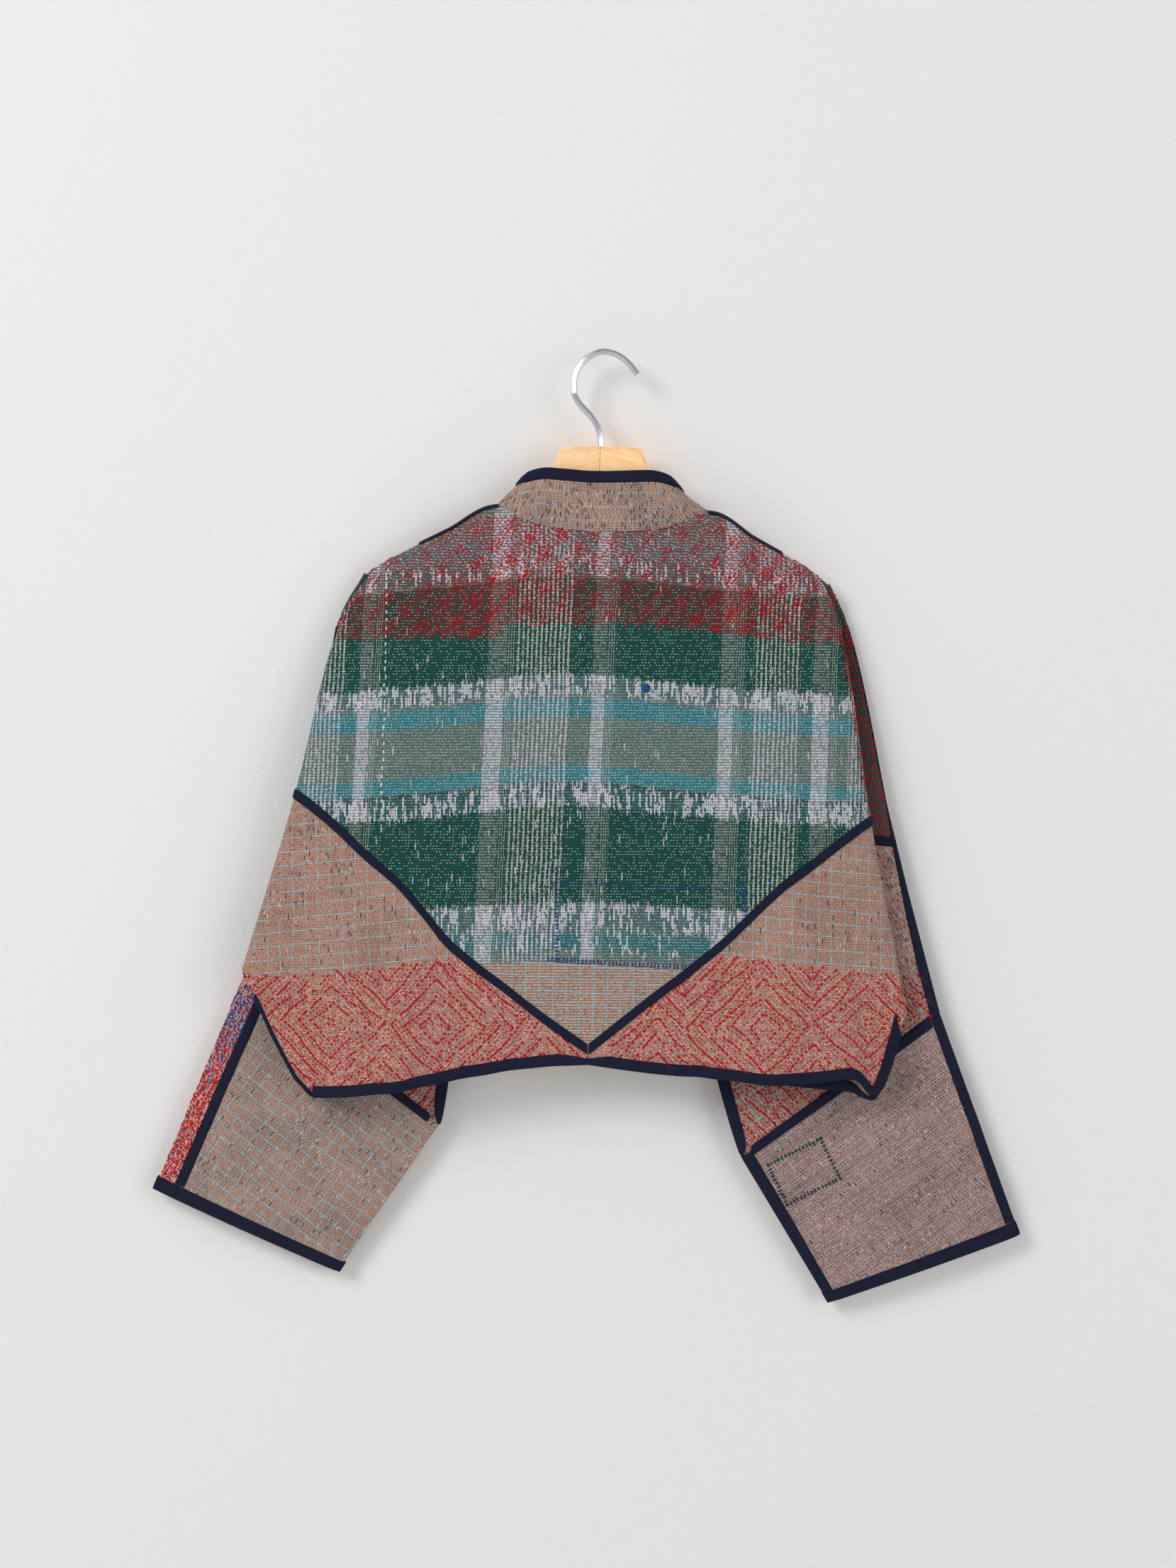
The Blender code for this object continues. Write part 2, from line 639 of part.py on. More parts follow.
def make_overarm_bands():
    """The strip over the overarm seam, on the far side only from the shoulder to the diagonal seam."""
    for side, word in SIDES.items():
        _, knots = TABLES[side]
        rows = np.vstack([yoke_rows(side)[4:-1], lower_rows(side)[1:-1], [knots[3] - BAND_GAP]])
        back = layer(side, rows)
        front = layer(side, rows, front=True)
        shown = np.ones(len(rows))
        if side > 0:
            shown = np.clip(OVERARM_SHOWN + (rows[:, -1] - knots[2, -1]) / OVERARM_WIDENS, 0.12, 1)
        inner = at_depth(back[:, -2], back[:, -1], BAND_WIDTH * shown[:, None])
        beyond = at_depth(front[:, -2], front[:, -1], BAND_WIDTH)
        rows = joined_rows((inner, back[:, -1]), (beyond, front[:, -1]), -side)
        navy(f"binding_overarm_{word}", rows)


def make_cuff_seams(side, word):
    """The strips over the sleeve end's two long seams."""
    start = 0 if side > 0 else 1
    back, front, _ = cuff_layers(side, cuff_shares(side)[start:-1])
    if side > 0:
        inner = at_depth(back[:, 1], back[:, 0], BAND_WIDTH)
        beyond = at_depth(front[:, 1], front[:, 0], BAND_WIDTH)
        navy(f"binding_cuff_underarm_{word}", joined_rows((inner, back[:, 0]), (beyond, front[:, 0]), side))
        inner = at_depth(back[:, -2], back[:, -1], BAND_WIDTH)
        beyond = at_depth(front[:, -2], front[:, -1], BAND_WIDTH)
        rows = joined_rows((inner, back[:, -1]), (beyond, front[:, -1]), -side)
        navy(f"binding_cuff_overarm_{word}", rows)
    else:
        seam = back[:, -2]
        inside = at_depth(back[:, -3], seam, BAND_WIDTH / 2)
        outside = at_depth(back[:, -1], seam, BAND_WIDTH / 2)
        flat_band(f"binding_cuff_overarm_{word}", np.stack([inside, seam, outside]), 1)
        seam = front[:, 1]
        inside = at_depth(front[:, 2], seam, BAND_WIDTH / 2)
        outside = at_depth(front[:, 0], seam, BAND_WIDTH / 2)
        flat_band(f"binding_cuff_underarm_{word}", np.stack([inside, seam, outside]), 1)


def make_joint_seams(side, word):
    """The strips over the joint seam of the sleeve end, on each face of the sleeve."""
    _, knots = TABLES[side]
    half = BAND_WIDTH / 2
    first = column_of("joint") + 1
    below = cuff_layers(side, [half / cuff_length(side), 0.5])
    for at, face in enumerate(("back", "front")):
        above = layer(side, np.vstack([knots[3] - half, knots[3]]), front=bool(at))
        rows = np.stack([above[0, first - 1 :], above[1, first - 1 :], below[at][0]])
        if side > 0:
            rows = rows[:, 1:-1]
        else:
            end = at_depth(rows[:, -2], rows[:, -1], BAND_WIDTH + JOINT_HALF)
            rows = np.concatenate([rows[:, 1:-1], end[:, None]], axis=1)
        flat_band(f"binding_joint_{face}_{word}", rows, -side if at else side)


def make_cuff_edge(side, word):
    """The strip round the open cuff."""
    length = cuff_length(side)
    back, front, _ = cuff_layers(side, [1 - BAND_WIDTH / length, 1 - SEAM_HALF / length])
    outer = folded_rows(*past_the_ends(back), side)
    inner = folded_rows(*past_the_ends(front), -side)
    navy(f"binding_cuff_{word}", np.concatenate([outer, inner[:, ::-1]], axis=1), ring=True)


def make_front_edges():
    """The strip over each centre-front edge, from the neck to the hem."""
    for side, word in SIDES.items():
        points = front_points(side, front_rows(side))[:-1]
        inner = at_depth(points[:, 1], points[:, 0], BAND_WIDTH)
        navy(f"binding_centre_front_{word}", folded_rows(inner, points[:, 0], -side))


def hanger_line():
    """The hanger's upper edge from left to right, as (x, middle, top, half, depth)."""
    block = [(x, BLOCK_MIDDLE, top, BLOCK_HALF, BLOCK_DEPTH) for x, top in BLOCK]
    arms = {}
    for side in SIDES:
        levels, _ = TABLES[side]
        out = abs(levels[0, :, 0])
        deep = abs(levels[1, :, 0])
        arms[side] = [
            (
                side * arm.x,
                np.interp(arm.x, deep, levels[1, :, 1]),
                np.interp(arm.x, out, levels[0, :, 2]) - arm.under,
                arm.half,
                arm.depth,
            )
            for arm in ARMS
        ]
    return arms[-1][::-1] + block + arms[1]


def make_hanger():
    """The wooden hanger: chamfered arms under the shoulders and a block that stands in the collar."""
    rows = []
    for x, y, top, half, depth in hanger_line():
        scale = min(1, depth / 22)
        slope = [(0.3, 0), (0.8, -5 * scale), (1, -9.5 * scale), (1, -depth), (0.6, -depth - 3 * scale)]
        profile = [(half * share, dz) for share, dz in slope]
        ring = [(x, y - dy, top + dz) for dy, dz in profile]
        ring += [(x, y + dy, top + dz) for dy, dz in profile[::-1]]
        rows.append(ring)
    grid = np.array(rows)
    count = grid.shape[1]
    faces = []
    for i in range(len(rows) - 1):
        for j in range(count):
            k = (j + 1) % count
            faces.append((i * count + j, i * count + k, (i + 1) * count + k, (i + 1) * count + j))
    faces.append(tuple(range(count))[::-1])
    faces.append(tuple((len(rows) - 1) * count + j for j in range(count)))
    mesh = bpy.data.meshes.new("hanger_wood")
    mesh.from_pydata((grid.reshape(-1, 3) * MM).tolist(), [], faces)
    new_object("hanger_wood", mesh, new_material("beech", BEECH, 0.55))


def make_hook():
    """The wire hook, one bent rod with a blunt tip."""
    curve = bpy.data.curves.new("hanger_hook", "CURVE")
    curve.dimensions = "3D"
    curve.bevel_depth = HOOK_WIRE * MM
    curve.bevel_resolution = 2
    curve.use_fill_caps = True
    route = np.array(HOOK_ROUTE, float)
    places = np.linspace(0, len(route) - 1, 40)
    x = smooth(np.arange(len(route)), route[:, 0], places)
    z = smooth(np.arange(len(route)), route[:, 1], places)
    spline = curve.splines.new("POLY")
    spline.points.add(len(places) - 1)
    for point, px, pz in zip(spline.points, x, z, strict=True):
        point.co = (px * MM, 0, (pz - HOOK_DROP) * MM, 1)
    new_object("hanger_hook", curve, new_material("aluminium", ALUMINIUM, 0.35, 1.0))


def clear_scene():
    for found in list(bpy.data.objects):
        bpy.data.objects.remove(found, do_unlink=True)


SIDES = {1: "right", -1: "left"}
clear_scene()
PARTS = bpy.data.collections.new("Kantha jacket on a hanger")
bpy.context.scene.collection.children.link(PARTS)
CLOTHS = {
    "green": new_material("green plaid kantha", GREEN, 0.9),
    "beige": new_material("beige kantha", BEIGE, 0.9),
    "red": new_material("red-stitched kantha", RED_STITCHED, 0.9),
    "taupe": new_material("taupe kantha", TAUPE, 0.9),
    "navy": new_material("navy cotton", NAVY, 0.8),
}


def main():
    make_yoke()
    make_gussets()
    make_fronts()
    make_cuffs()
    make_collar()
    for side, word in SIDES.items():
        make_seam_bands(side, word)
    make_shoulder_bands()
    make_hem_bands()
    make_overarm_bands()
    for side, word in SIDES.items():
        make_cuff_seams(side, word)
        make_joint_seams(side, word)
        make_cuff_edge(side, word)
    make_front_edges()
    make_hanger()
    make_hook()


main()
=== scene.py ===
"""The looks of the kantha jacket on its hanger: quilted panels, bound seams, stitches, wood, wire, light."""

import logging
import math
from collections import namedtuple
from collections.abc import Callable, Iterator
from dataclasses import dataclass, field
from enum import Enum
from typing import TypeAlias

import bpy
import numpy as np
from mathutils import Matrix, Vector
from mathutils.bvhtree import BVHTree


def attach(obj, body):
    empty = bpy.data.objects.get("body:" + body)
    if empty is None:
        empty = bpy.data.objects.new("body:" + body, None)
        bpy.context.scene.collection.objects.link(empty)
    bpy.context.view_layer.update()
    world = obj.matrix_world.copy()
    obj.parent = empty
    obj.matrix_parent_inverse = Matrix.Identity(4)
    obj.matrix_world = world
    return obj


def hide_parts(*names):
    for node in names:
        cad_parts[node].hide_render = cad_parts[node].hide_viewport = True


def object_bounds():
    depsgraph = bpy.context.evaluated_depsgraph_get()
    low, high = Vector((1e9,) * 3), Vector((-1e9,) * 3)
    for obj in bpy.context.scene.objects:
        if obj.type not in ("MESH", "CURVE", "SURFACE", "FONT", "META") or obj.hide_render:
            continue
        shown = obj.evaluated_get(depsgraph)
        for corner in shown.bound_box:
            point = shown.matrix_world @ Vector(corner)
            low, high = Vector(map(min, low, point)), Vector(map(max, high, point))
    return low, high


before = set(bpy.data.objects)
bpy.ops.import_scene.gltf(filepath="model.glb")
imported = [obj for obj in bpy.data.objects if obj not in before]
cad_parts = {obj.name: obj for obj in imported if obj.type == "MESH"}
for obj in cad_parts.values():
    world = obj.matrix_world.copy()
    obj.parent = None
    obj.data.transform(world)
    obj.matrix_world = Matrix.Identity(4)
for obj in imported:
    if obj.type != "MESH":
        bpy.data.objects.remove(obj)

LOG = logging.getLogger("jacket")
CAD_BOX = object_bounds()
MM = 0.001
BODY = "root"
Colour: TypeAlias = tuple[float, float, float]
Socket: TypeAlias = bpy.types.NodeSocket
Material: TypeAlias = bpy.types.Material
Number: TypeAlias = "Shade | float"

# Sizes in millimetres: the quilt's thickness, the space between the middles of layers that lie shut, a
# strip's width, half the gap at a seam, the height over which the shoulders round off and the rows of points
# there, how far a cuff's strip passes the cloth, and where the sleeves' cloth coordinates start.
CLOTH = 2.2
CLOSED = CLOTH + 1.0
BAND = 8.6
SEAM_HALF = 0.2
SHOULDER_ROUND = 12.0
SHOULDER_ROWS = (0.0, 0.35, 1.0, 2.0, 3.4, 5.2, 7.4, 9.8)
PAST_THE_ENDS = 2.1
SLEEVE_MAP = (1000.0, 800.0)
SIDES = {1: "right", -1: "left"}

# A strip's outer face, how far in from the cloth's edge and how high, as shares of its width and its lift.
# Then the share of its lift at which it rounds the edge, and its turn inside: how far past the edge, how low.
STRIP_PROFILE = ((1.0, 0.45), (0.9, 0.86), (0.62, 1.0), (0.3, 1.03), (0.08, 0.98))
STRIP_ROUND = 0.62
STRIP_TURN = ((1.7, 0.2), (1.2, 1.2))

# The gussets' red part: how far down it begins, how much lower it begins further out, and where it falls.
RED_FROM = 556.0
RED_FALL = 18.0
FALL_SPAN = (120.0, 270.0)

# Rows of mending stitches on the yoke: the thread, the first and last stitch's (x, z), the pitch, a stitch's
# length, whether stitches lie across the row, their width and how far they stray.
MENDS = [
    ("blue_thread", (-39.6, -483.1), (-39.6, -559.7), 3.4, 4.2, True, 2.0, 0.4),
    ("blue_thread", (-39.6, -490.0), (132.6, -497.0), 4.4, 3.4, False, 1.9, 0.9),
    ("blue_thread", (132.6, -493.7), (132.6, -537.9), 3.6, 4.2, True, 2.0, 0.4),
    ("blue_thread", (-47.5, -560.0), (89.0, -568.0), 3.5, 5.2, True, 1.9, 0.4),
    ("blue_thread", (-47.5, -562.0), (89.0, -570.0), 4.2, 4.0, False, 1.1, 0.4),
    ("white_thread", (-197.0, -186.0), (-200.5, -423.0), 7.6, 4.2, False, 1.9, 0.7),
]

# The tuft's two layers of blue stitches: the middle, a stitch's length and its width.
TUFT = [((42.9, -310.9), 10.0, 2.0), ((42.0, -312.0), 6.5, 2.2)]

# Stray cobalt ends on the gussets.
STRAYS = [(60, -651), (69, -653), (-205, -672), (-200, -674), (-212, -671)]

# The angle past which a rim stays sharp. The least share of its box that a cut's area is given as.
SHARP_ANGLE = math.radians(55)

Line = namedtuple("Line", "seam below diagonal edge")
Depth = namedtuple("Depth", "seam below diagonal edge")
Reach = namedtuple("Reach", "y apart")
Cuff = namedtuple("Cuff", "inner outer")
Stand = namedtuple("Stand", "share upper")

# Where each line down the cloth crosses the neck and shoulder seam, the level below it, the diagonal seam and
# the lower edge, as (x, z) in millimetres from the hook's inner top.
RIGHT = {
    "centre": Line((-1, -168), (-1, -199), (-11, -643), (-11, -655)),
    "neck_mid": Line((55, -164), (55, -197), (41, -602), (48, -663)),
    "neck_point": Line((103, -148), (105, -185), (106, -551), (113, -669)),
    "shoulder_mid": Line((143, -171), (149, -206), (170, -492), (178, -674)),
    "side": Line((170, -186), (182, -226), (194, -474), (230, -669)),
    "corner": Line((188, -196), (208, -243), (219, -455), (254, -687)),
    "fold": Line((198, -202), (222, -258), (248, -434), (282, -612)),
    "valley": Line((205, -207), (224, -258), (174, -440), (102, -640)),
    "joint": Line((209, -210), (226, -258), (187, -443), (134, -746)),
    "overarm": Line((216, -218), (234, -258), (275, -454), (316, -615)),
}
LEFT = {
    "centre": Line((-1, -168), (-1, -199), (-11, -643), (-11, -655)),
    "neck_mid": Line((-53, -161), (-55, -196), (-62, -607), (-62, -657)),
    "neck_point": Line((-97, -142), (-99, -178), (-128, -554), (-128, -669)),
    "shoulder_mid": Line((-139, -163), (-146, -198), (-186, -490), (-186, -679)),
    "side": Line((-168, -177), (-188, -219), (-216, -463), (-229, -685)),
    "corner": Line((-190, -188), (-222, -243), (-246, -435), (-265, -687)),
    "fold": Line((-202, -194), (-242, -258), (-279, -409), (-329, -572)),
    "valley": Line((-210, -198), (-242, -258), (-202, -415), (-136, -626)),
    "joint": Line((-214, -201), (-243, -258), (-214, -419), (-151, -716)),
    "overarm": Line((-222, -207), (-245, -256), (-275, -422), (-332, -578)),
}
DEPTHS = {
    "centre": Depth(Reach(-1, 46), Reach(-1, 42), Reach(-26, 24), Reach(-26, 24)),
    "neck_mid": Depth(Reach(-1, 40), Reach(0, 36), Reach(-26, 24), Reach(-26, 24)),
    "neck_point": Depth(Reach(1, CLOSED), Reach(1, 24), Reach(-26, 24), Reach(-26, 24)),
    "shoulder_mid": Depth(Reach(3, CLOSED), Reach(3, 22), Reach(-26, 24), Reach(-26, 24)),
    "side": Depth(Reach(5, CLOSED), Reach(4, 21), Reach(-25, 20), Reach(-25, 18)),
    "corner": Depth(Reach(6, CLOSED), Reach(4, 16), Reach(-22, 14), Reach(-20, CLOSED)),
    "fold_in": Depth(Reach(8, CLOSED), Reach(2, 6), Reach(-18, 5), Reach(-17.5, CLOSED)),
    "fold": Depth(Reach(8.5, CLOSED), Reach(6, 4.6), Reach(-12.5, 4.6), Reach(-12.5, CLOSED)),
    "fold_out": Depth(Reach(9, CLOSED), Reach(10, 4.6), Reach(-7, 4.6), Reach(-8, CLOSED)),
    "valley_in": Depth(Reach(9.5, CLOSED), Reach(13, 4.6), Reach(-6, 4.6), Reach(-6, CLOSED)),
    "valley": Depth(Reach(10, CLOSED), Reach(17, 4.6), Reach(0.5, 4.6), Reach(0.5, CLOSED)),
    "valley_out": Depth(Reach(10.5, CLOSED), Reach(20, 4.6), Reach(7, 4.6), Reach(7, CLOSED)),
    "joint": Depth(Reach(11, 4), Reach(20.5, 4.6), Reach(8, 8), Reach(8, CLOSED)),
    "joint_in": Depth(Reach(11, 4), Reach(20.5, 4.6), Reach(9, 9), Reach(10, 9)),
    "arm_mid": Depth(Reach(12, 4), Reach(20.5, 4.6), Reach(11, 12), Reach(12, 18)),
    "overarm_in": Depth(Reach(12.5, 4), Reach(20.5, 4.6), Reach(12, 8), Reach(12, 10)),
    "overarm": Depth(Reach(13, 4), Reach(21, 4), Reach(12, CLOSED), Reach(12, CLOSED)),
}
STATIONS = list(DEPTHS)
COLUMNS = [14, 14, 16, 8, 6, 4, 4, 4, 22, 3, 3, 12, 3, 18, 16, 3]
CUFFS = {1: Cuff((215, -882), (390, -820)), -1: Cuff((-245, -853), (-415, -777))}
OVERARM_INSET = {1: 9.0, -1: 24.0}
COLLAR = [
    Stand(0.0, (9, -15, -112)),
    Stand(0.23, (45, -15, -111)),
    Stand(0.375, (66, -9, -117)),
    Stand(0.45, (71, 2, -125)),
    Stand(0.58, (60, 11, -141)),
    Stand(0.79, (38, 16, -170)),
    Stand(1.0, (5, 19, -192)),
]
FRONT_HEM_DROP = {("side", 1): 13.0, ("shoulder_mid", 1): 3.0, ("corner", 1): 3.0}

# Soft folds of the hung cloth: two ends, how deep (a ridge is negative) and how wide, in millimetres.
Crease = namedtuple("Crease", "x0 z0 x1 z1 depth width")
CREASES = [
    Crease(-216, -640, -200, -566, 4.2, 11), Crease(-186, -660, -176, -590, -3.2, 12),
    Crease(-150, -560, -128, -640, 3.5, 15), Crease(-232, -560, -214, -520, -3.5, 16),
    Crease(-70, -640, -92, -600, -1.9, 14), Crease(206, -560, 188, -640, 3.5, 13),
    Crease(150, -655, 158, -585, -3.2, 16), Crease(96, -655, 84, -600, 2.4, 14),
    Crease(232, -600, 224, -520, -2.6, 12), Crease(-196, -250, -222, -400, 3.5, 15),
    Crease(-172, -226, -190, -330, -2.9, 16), Crease(168, -240, 196, -420, 3.5, 16),
    Crease(140, -222, 158, -330, -2.4, 18), Crease(-34, -300, 6, -520, 1.8, 34),
    Crease(-60, -203, 60, -206, 2.2, 8), Crease(-120, -300, -132, -470, -2.1, 26),
    Crease(70, -360, 96, -520, -1.9, 24),
]
ARM_CREASES = [
    Crease(-300, -640, -220, -700, 3.2, 13), Crease(-350, -690, -270, -730, -2.9, 14),
    Crease(-330, -760, -280, -790, 2.6, 12), Crease(-240, -740, -290, -770, -2.4, 12),
    Crease(300, -660, 220, -720, 2.9, 14), Crease(340, -720, 260, -760, -2.6, 14),
    Crease(330, -800, 270, -820, 2.2, 12), Crease(200, -770, 240, -830, 1.9, 11),
]


def smooth(knots: np.ndarray, values: np.ndarray, places: np.ndarray) -> np.ndarray:
    """Values between knots, on a curve that never swings past them.

    Args:
        knots: Rising places where the values are known.
        values: One value for each knot.
        places: Where the curve is read.

    Returns:
        The curve's values at the places.
    """
    knots = np.asarray(knots, float)
    values = np.asarray(values, float)
    gap = np.diff(knots)
    slope = np.diff(values) / gap
    tangent = np.zeros_like(values)
    tangent[0] = slope[0]
    tangent[-1] = slope[-1]
    for i in range(1, len(values) - 1):
        if slope[i - 1] * slope[i] > 0:
            tangent[i] = 2 * slope[i - 1] * slope[i] / (slope[i - 1] + slope[i])
    at = np.clip(np.searchsorted(knots, places, side="right") - 1, 0, len(gap) - 1)
    t = (places - knots[at]) / gap[at]
    start = (1 + 2 * t) * (1 - t) ** 2 * values[at] + t * (1 - t) ** 2 * gap[at] * tangent[at]
    end = t * t * (3 - 2 * t) * values[at + 1] + t * t * (t - 1) * gap[at] * tangent[at + 1]
    return start + end


def unit(vectors: np.ndarray) -> np.ndarray:
    """The vectors at length one."""
    return vectors / np.maximum(np.linalg.norm(vectors, axis=-1, keepdims=True), 1e-9)


def normals(points: np.ndarray) -> np.ndarray:
    """Unit normals of a grid, towards the viewer where its rows run to +X and its columns run down."""
    return unit(np.cross(np.gradient(points, axis=0), np.gradient(points, axis=1)))


def spread(start: np.ndarray, end: np.ndarray, count: int) -> np.ndarray:
    """Rows of distances, evenly from a start to an end over the columns."""
    return start + (end - start) * np.linspace(0, 1, count)[:, None]


def relief(x: np.ndarray, z: np.ndarray, creases: list[Crease]) -> np.ndarray:
    """How far the folds push the cloth towards the far side.

    Args:
        x: Places to the right, in millimetres.
        z: Places up, in millimetres.
        creases: The folds that reach this part of the cloth.

    Returns:
        A depth for each place.
    """
    depth = np.zeros_like(x)
    for c in creases:
        way = np.array([c.x1 - c.x0, c.z1 - c.z0], float)
        length = np.hypot(*way)
        way /= length
        along = (x - c.x0) * way[0] + (z - c.z0) * way[1]
        beyond = np.maximum(0, np.maximum(-along, along - length))
        off = (x - c.x0) * way[1] - (z - c.z0) * way[0]
        bend = 2.5 * np.sin(along / 23.0 + c.x0)
        depth += c.depth * np.exp(-(((off + bend) / c.width) ** 2) - (beyond / (c.width * 1.6)) ** 2)
    return depth


def grain_noise(x: np.ndarray, z: np.ndarray, seed: float) -> np.ndarray:
    """A small uneven waviness, from -1 to 1, that is the same each run."""
    first = np.sin(x / 5.3 + seed + 1.7 * np.sin(z / 9.1)) * np.sin(z / 4.7 - seed + 1.3 * np.sin(x / 11.3))
    second = np.sin(x / 12.7 + 2.1 * seed + np.sin(z / 17.0)) * np.sin(z / 13.9 + seed)
    return 0.55 * first + 0.45 * second


@dataclass
class Tube:
    """One side of the jacket: a flattened tube that folds back behind itself and out again as the sleeve."""

    sign: int
    neck_depth: float = 62.0
    open_centre: float = 5.0
    crease_from: float = 14.0
    crease_over: float = 40.0
    cuff_y: float = 13.0
    cuff_open: float = 16.0
    arm_open: float = 18.0
    places: np.ndarray = field(init=False)
    levels: np.ndarray = field(init=False)
    knots: np.ndarray = field(init=False)

    def __post_init__(self) -> None:
        """Works out the columns' places, their points at the four levels and how far down those lie."""
        places = [0.0]
        for i, count in enumerate(COLUMNS):
            places.extend(i + (k + 1) / count for k in range(count))
        self.places = np.array(places)
        self.levels = np.array([self.level(name) for name in Line._fields])
        steps = np.hypot(np.diff(self.levels[:, :, 0], axis=0), np.diff(self.levels[:, :, 2], axis=0))
        down = np.cumsum(np.maximum(steps, 0.5), axis=0)
        self.knots = np.concatenate([np.zeros((1, len(self.places))), down])

    def column(self, station: str) -> int:
        """The number of the column at a station."""
        return int(np.argmin(abs(self.places - STATIONS.index(station))))

    def level(self, name: str) -> np.ndarray:
        """Each column's (x, y, z, apart) at one level."""
        table = RIGHT if self.sign > 0 else LEFT
        line = {station: np.array(getattr(row, name), float) for station, row in table.items()}

        def towards(start: str, end: str, distance: float) -> np.ndarray:
            """A point a distance from one station on the way to another."""
            step = line[end] - line[start]
            return line[start] + step * min(distance / max(np.hypot(*step), 1e-6), 0.4)

        line["fold_in"] = towards("fold", "corner", 5.0)
        line["fold_out"] = towards("fold", "valley", 5.0)
        line["valley_in"] = towards("valley", "fold", 5.0)
        line["valley_out"] = towards("valley", "joint", 5.0)
        line["joint_in"] = towards("joint", "overarm", 9.0)
        line["arm_mid"] = (line["joint"] + line["overarm"]) / 2
        line["overarm_in"] = towards("overarm", "joint", OVERARM_INSET[self.sign])
        points = np.array([line[station] for station in STATIONS])
        reach = np.array([getattr(DEPTHS[station], name) for station in STATIONS], float)
        numbers = np.arange(len(STATIONS))
        rows = (points[:, 0], reach[:, 0], points[:, 1], reach[:, 1])
        return np.stack([smooth(numbers, row, self.places) for row in rows], axis=1)

    def middle(self, down: np.ndarray) -> np.ndarray:
        """The middle surface as (x, y, z, apart), at distances down each column."""
        found = np.zeros(down.shape + (4,))
        for j in range(down.shape[1]):
            for k in range(4):
                found[:, j, k] = smooth(self.knots[:, j], self.levels[:, j, k], down[:, j])
            above = down[:, j] < self.knots[1, j]
            open_by = np.clip(down[:, j] / SHOULDER_ROUND, 0, 1)
            rounding = np.sqrt(1 - (1 - open_by) ** 2)
            seam = self.levels[0, j, 3]
            below = self.levels[1, j, 3]
            found[above, j, 3] = seam + (below - seam) * rounding[above]
        x = found[:, :, 0]
        z = found[:, :, 2]
        fade = np.clip((down - self.crease_from) / self.crease_over, 0, 1)
        on_body = np.clip((STATIONS.index("fold_in") - self.places) / 1.5, 0, 1)
        on_arm = np.clip(self.places - STATIONS.index("joint"), 0, 1)
        on_arm = on_arm * np.clip((STATIONS.index("overarm") - self.places) / 1.5, 0, 1)
        found[:, :, 1] += relief(x, z, CREASES) * fade * on_body
        found[:, :, 1] += relief(x, z, ARM_CREASES) * fade * on_arm
        return found

    def layer(self, down: np.ndarray, front: bool = False) -> np.ndarray:
        """The back or front layer's points, half way through the cloth."""
        grid = self.middle(down)
        outward = normals(grid[:, :, :3]) * self.sign
        points = grid[:, :, :3] + outward * grid[:, :, 3:] / 2 * (-1 if front else 1)
        if front:
            points[:, :, 2] -= self.front_drop(down)
            neck = self.column("neck_point")
            share = np.zeros(len(self.places))
            share[:neck] = 1 - np.arange(neck) / neck
            points[:, :, 0] += (self.sign * self.open_centre - points[:, :1, 0]) * share
        return points

    def front_drop(self, down: np.ndarray) -> np.ndarray:
        """How far the front layer hangs below the back layer."""
        drops = [FRONT_HEM_DROP.get((name, self.sign), 0.0) for name in STATIONS]
        drop = smooth(np.arange(len(STATIONS)), drops, self.places)
        reach = np.clip((down - self.knots[2]) / np.maximum(self.knots[3] - self.knots[2], 1), 0, 1)
        return drop * reach**2

    def covered(self, most: float) -> np.ndarray:
        """A seam's covered strip in each column, narrower where the panel comes to a point."""
        return np.minimum(most, 0.3 * (self.knots[3] - self.knots[2]))

    def hung_rows(self, last: np.ndarray, count: int) -> np.ndarray:
        """Distances down the cloth, close together over the shoulder's round."""
        level = np.ones(len(self.places))
        top = [level * distance for distance in SHOULDER_ROWS]
        return np.vstack([top, spread(level * SHOULDER_ROUND, last - SEAM_HALF, count)])

    def yoke_rows(self, count: int = 84) -> np.ndarray:
        """Distances down the yoke, to the diagonal seam."""
        return self.hung_rows(self.knots[2], count)

    def lower_rows(self, count: int = 56) -> np.ndarray:
        """Distances down the lower panel, from the diagonal seam to its edge."""
        return spread(self.knots[2] + SEAM_HALF, self.knots[3] - SEAM_HALF, count)

    def front_rows(self, count: int = 92) -> np.ndarray:
        """Distances down the front, lowered to the neckline in the middle."""
        rows = self.hung_rows(self.knots[3], count)
        neck = self.column("neck_point")
        drop = np.zeros(len(self.places))
        drop[:neck] = self.neck_depth * (1 - np.arange(neck) / neck) ** 0.8
        return drop + rows * (self.knots[3] - drop) / self.knots[3]

    def neck_line(self) -> np.ndarray:
        """The panels' neck edge from the centre back over the shoulder to the centre front."""
        neck = self.column("neck_point")
        back = self.layer(self.yoke_rows()[:2])[0, : neck + 1]
        front = self.layer(self.front_rows()[:2], front=True)[0, :neck]
        return np.concatenate([back, front[::-1]])

    def sleeve_axes(self) -> tuple[np.ndarray, np.ndarray, np.ndarray]:
        """The sleeve's origin, its way across and its way down, in (x, z)."""
        joint = self.levels[3, self.column("joint")][[0, 2]]
        overarm = self.levels[3, -1][[0, 2]]
        across = unit(overarm - joint)
        down = np.array([across[1], -across[0]]) * self.sign
        return joint, across, down

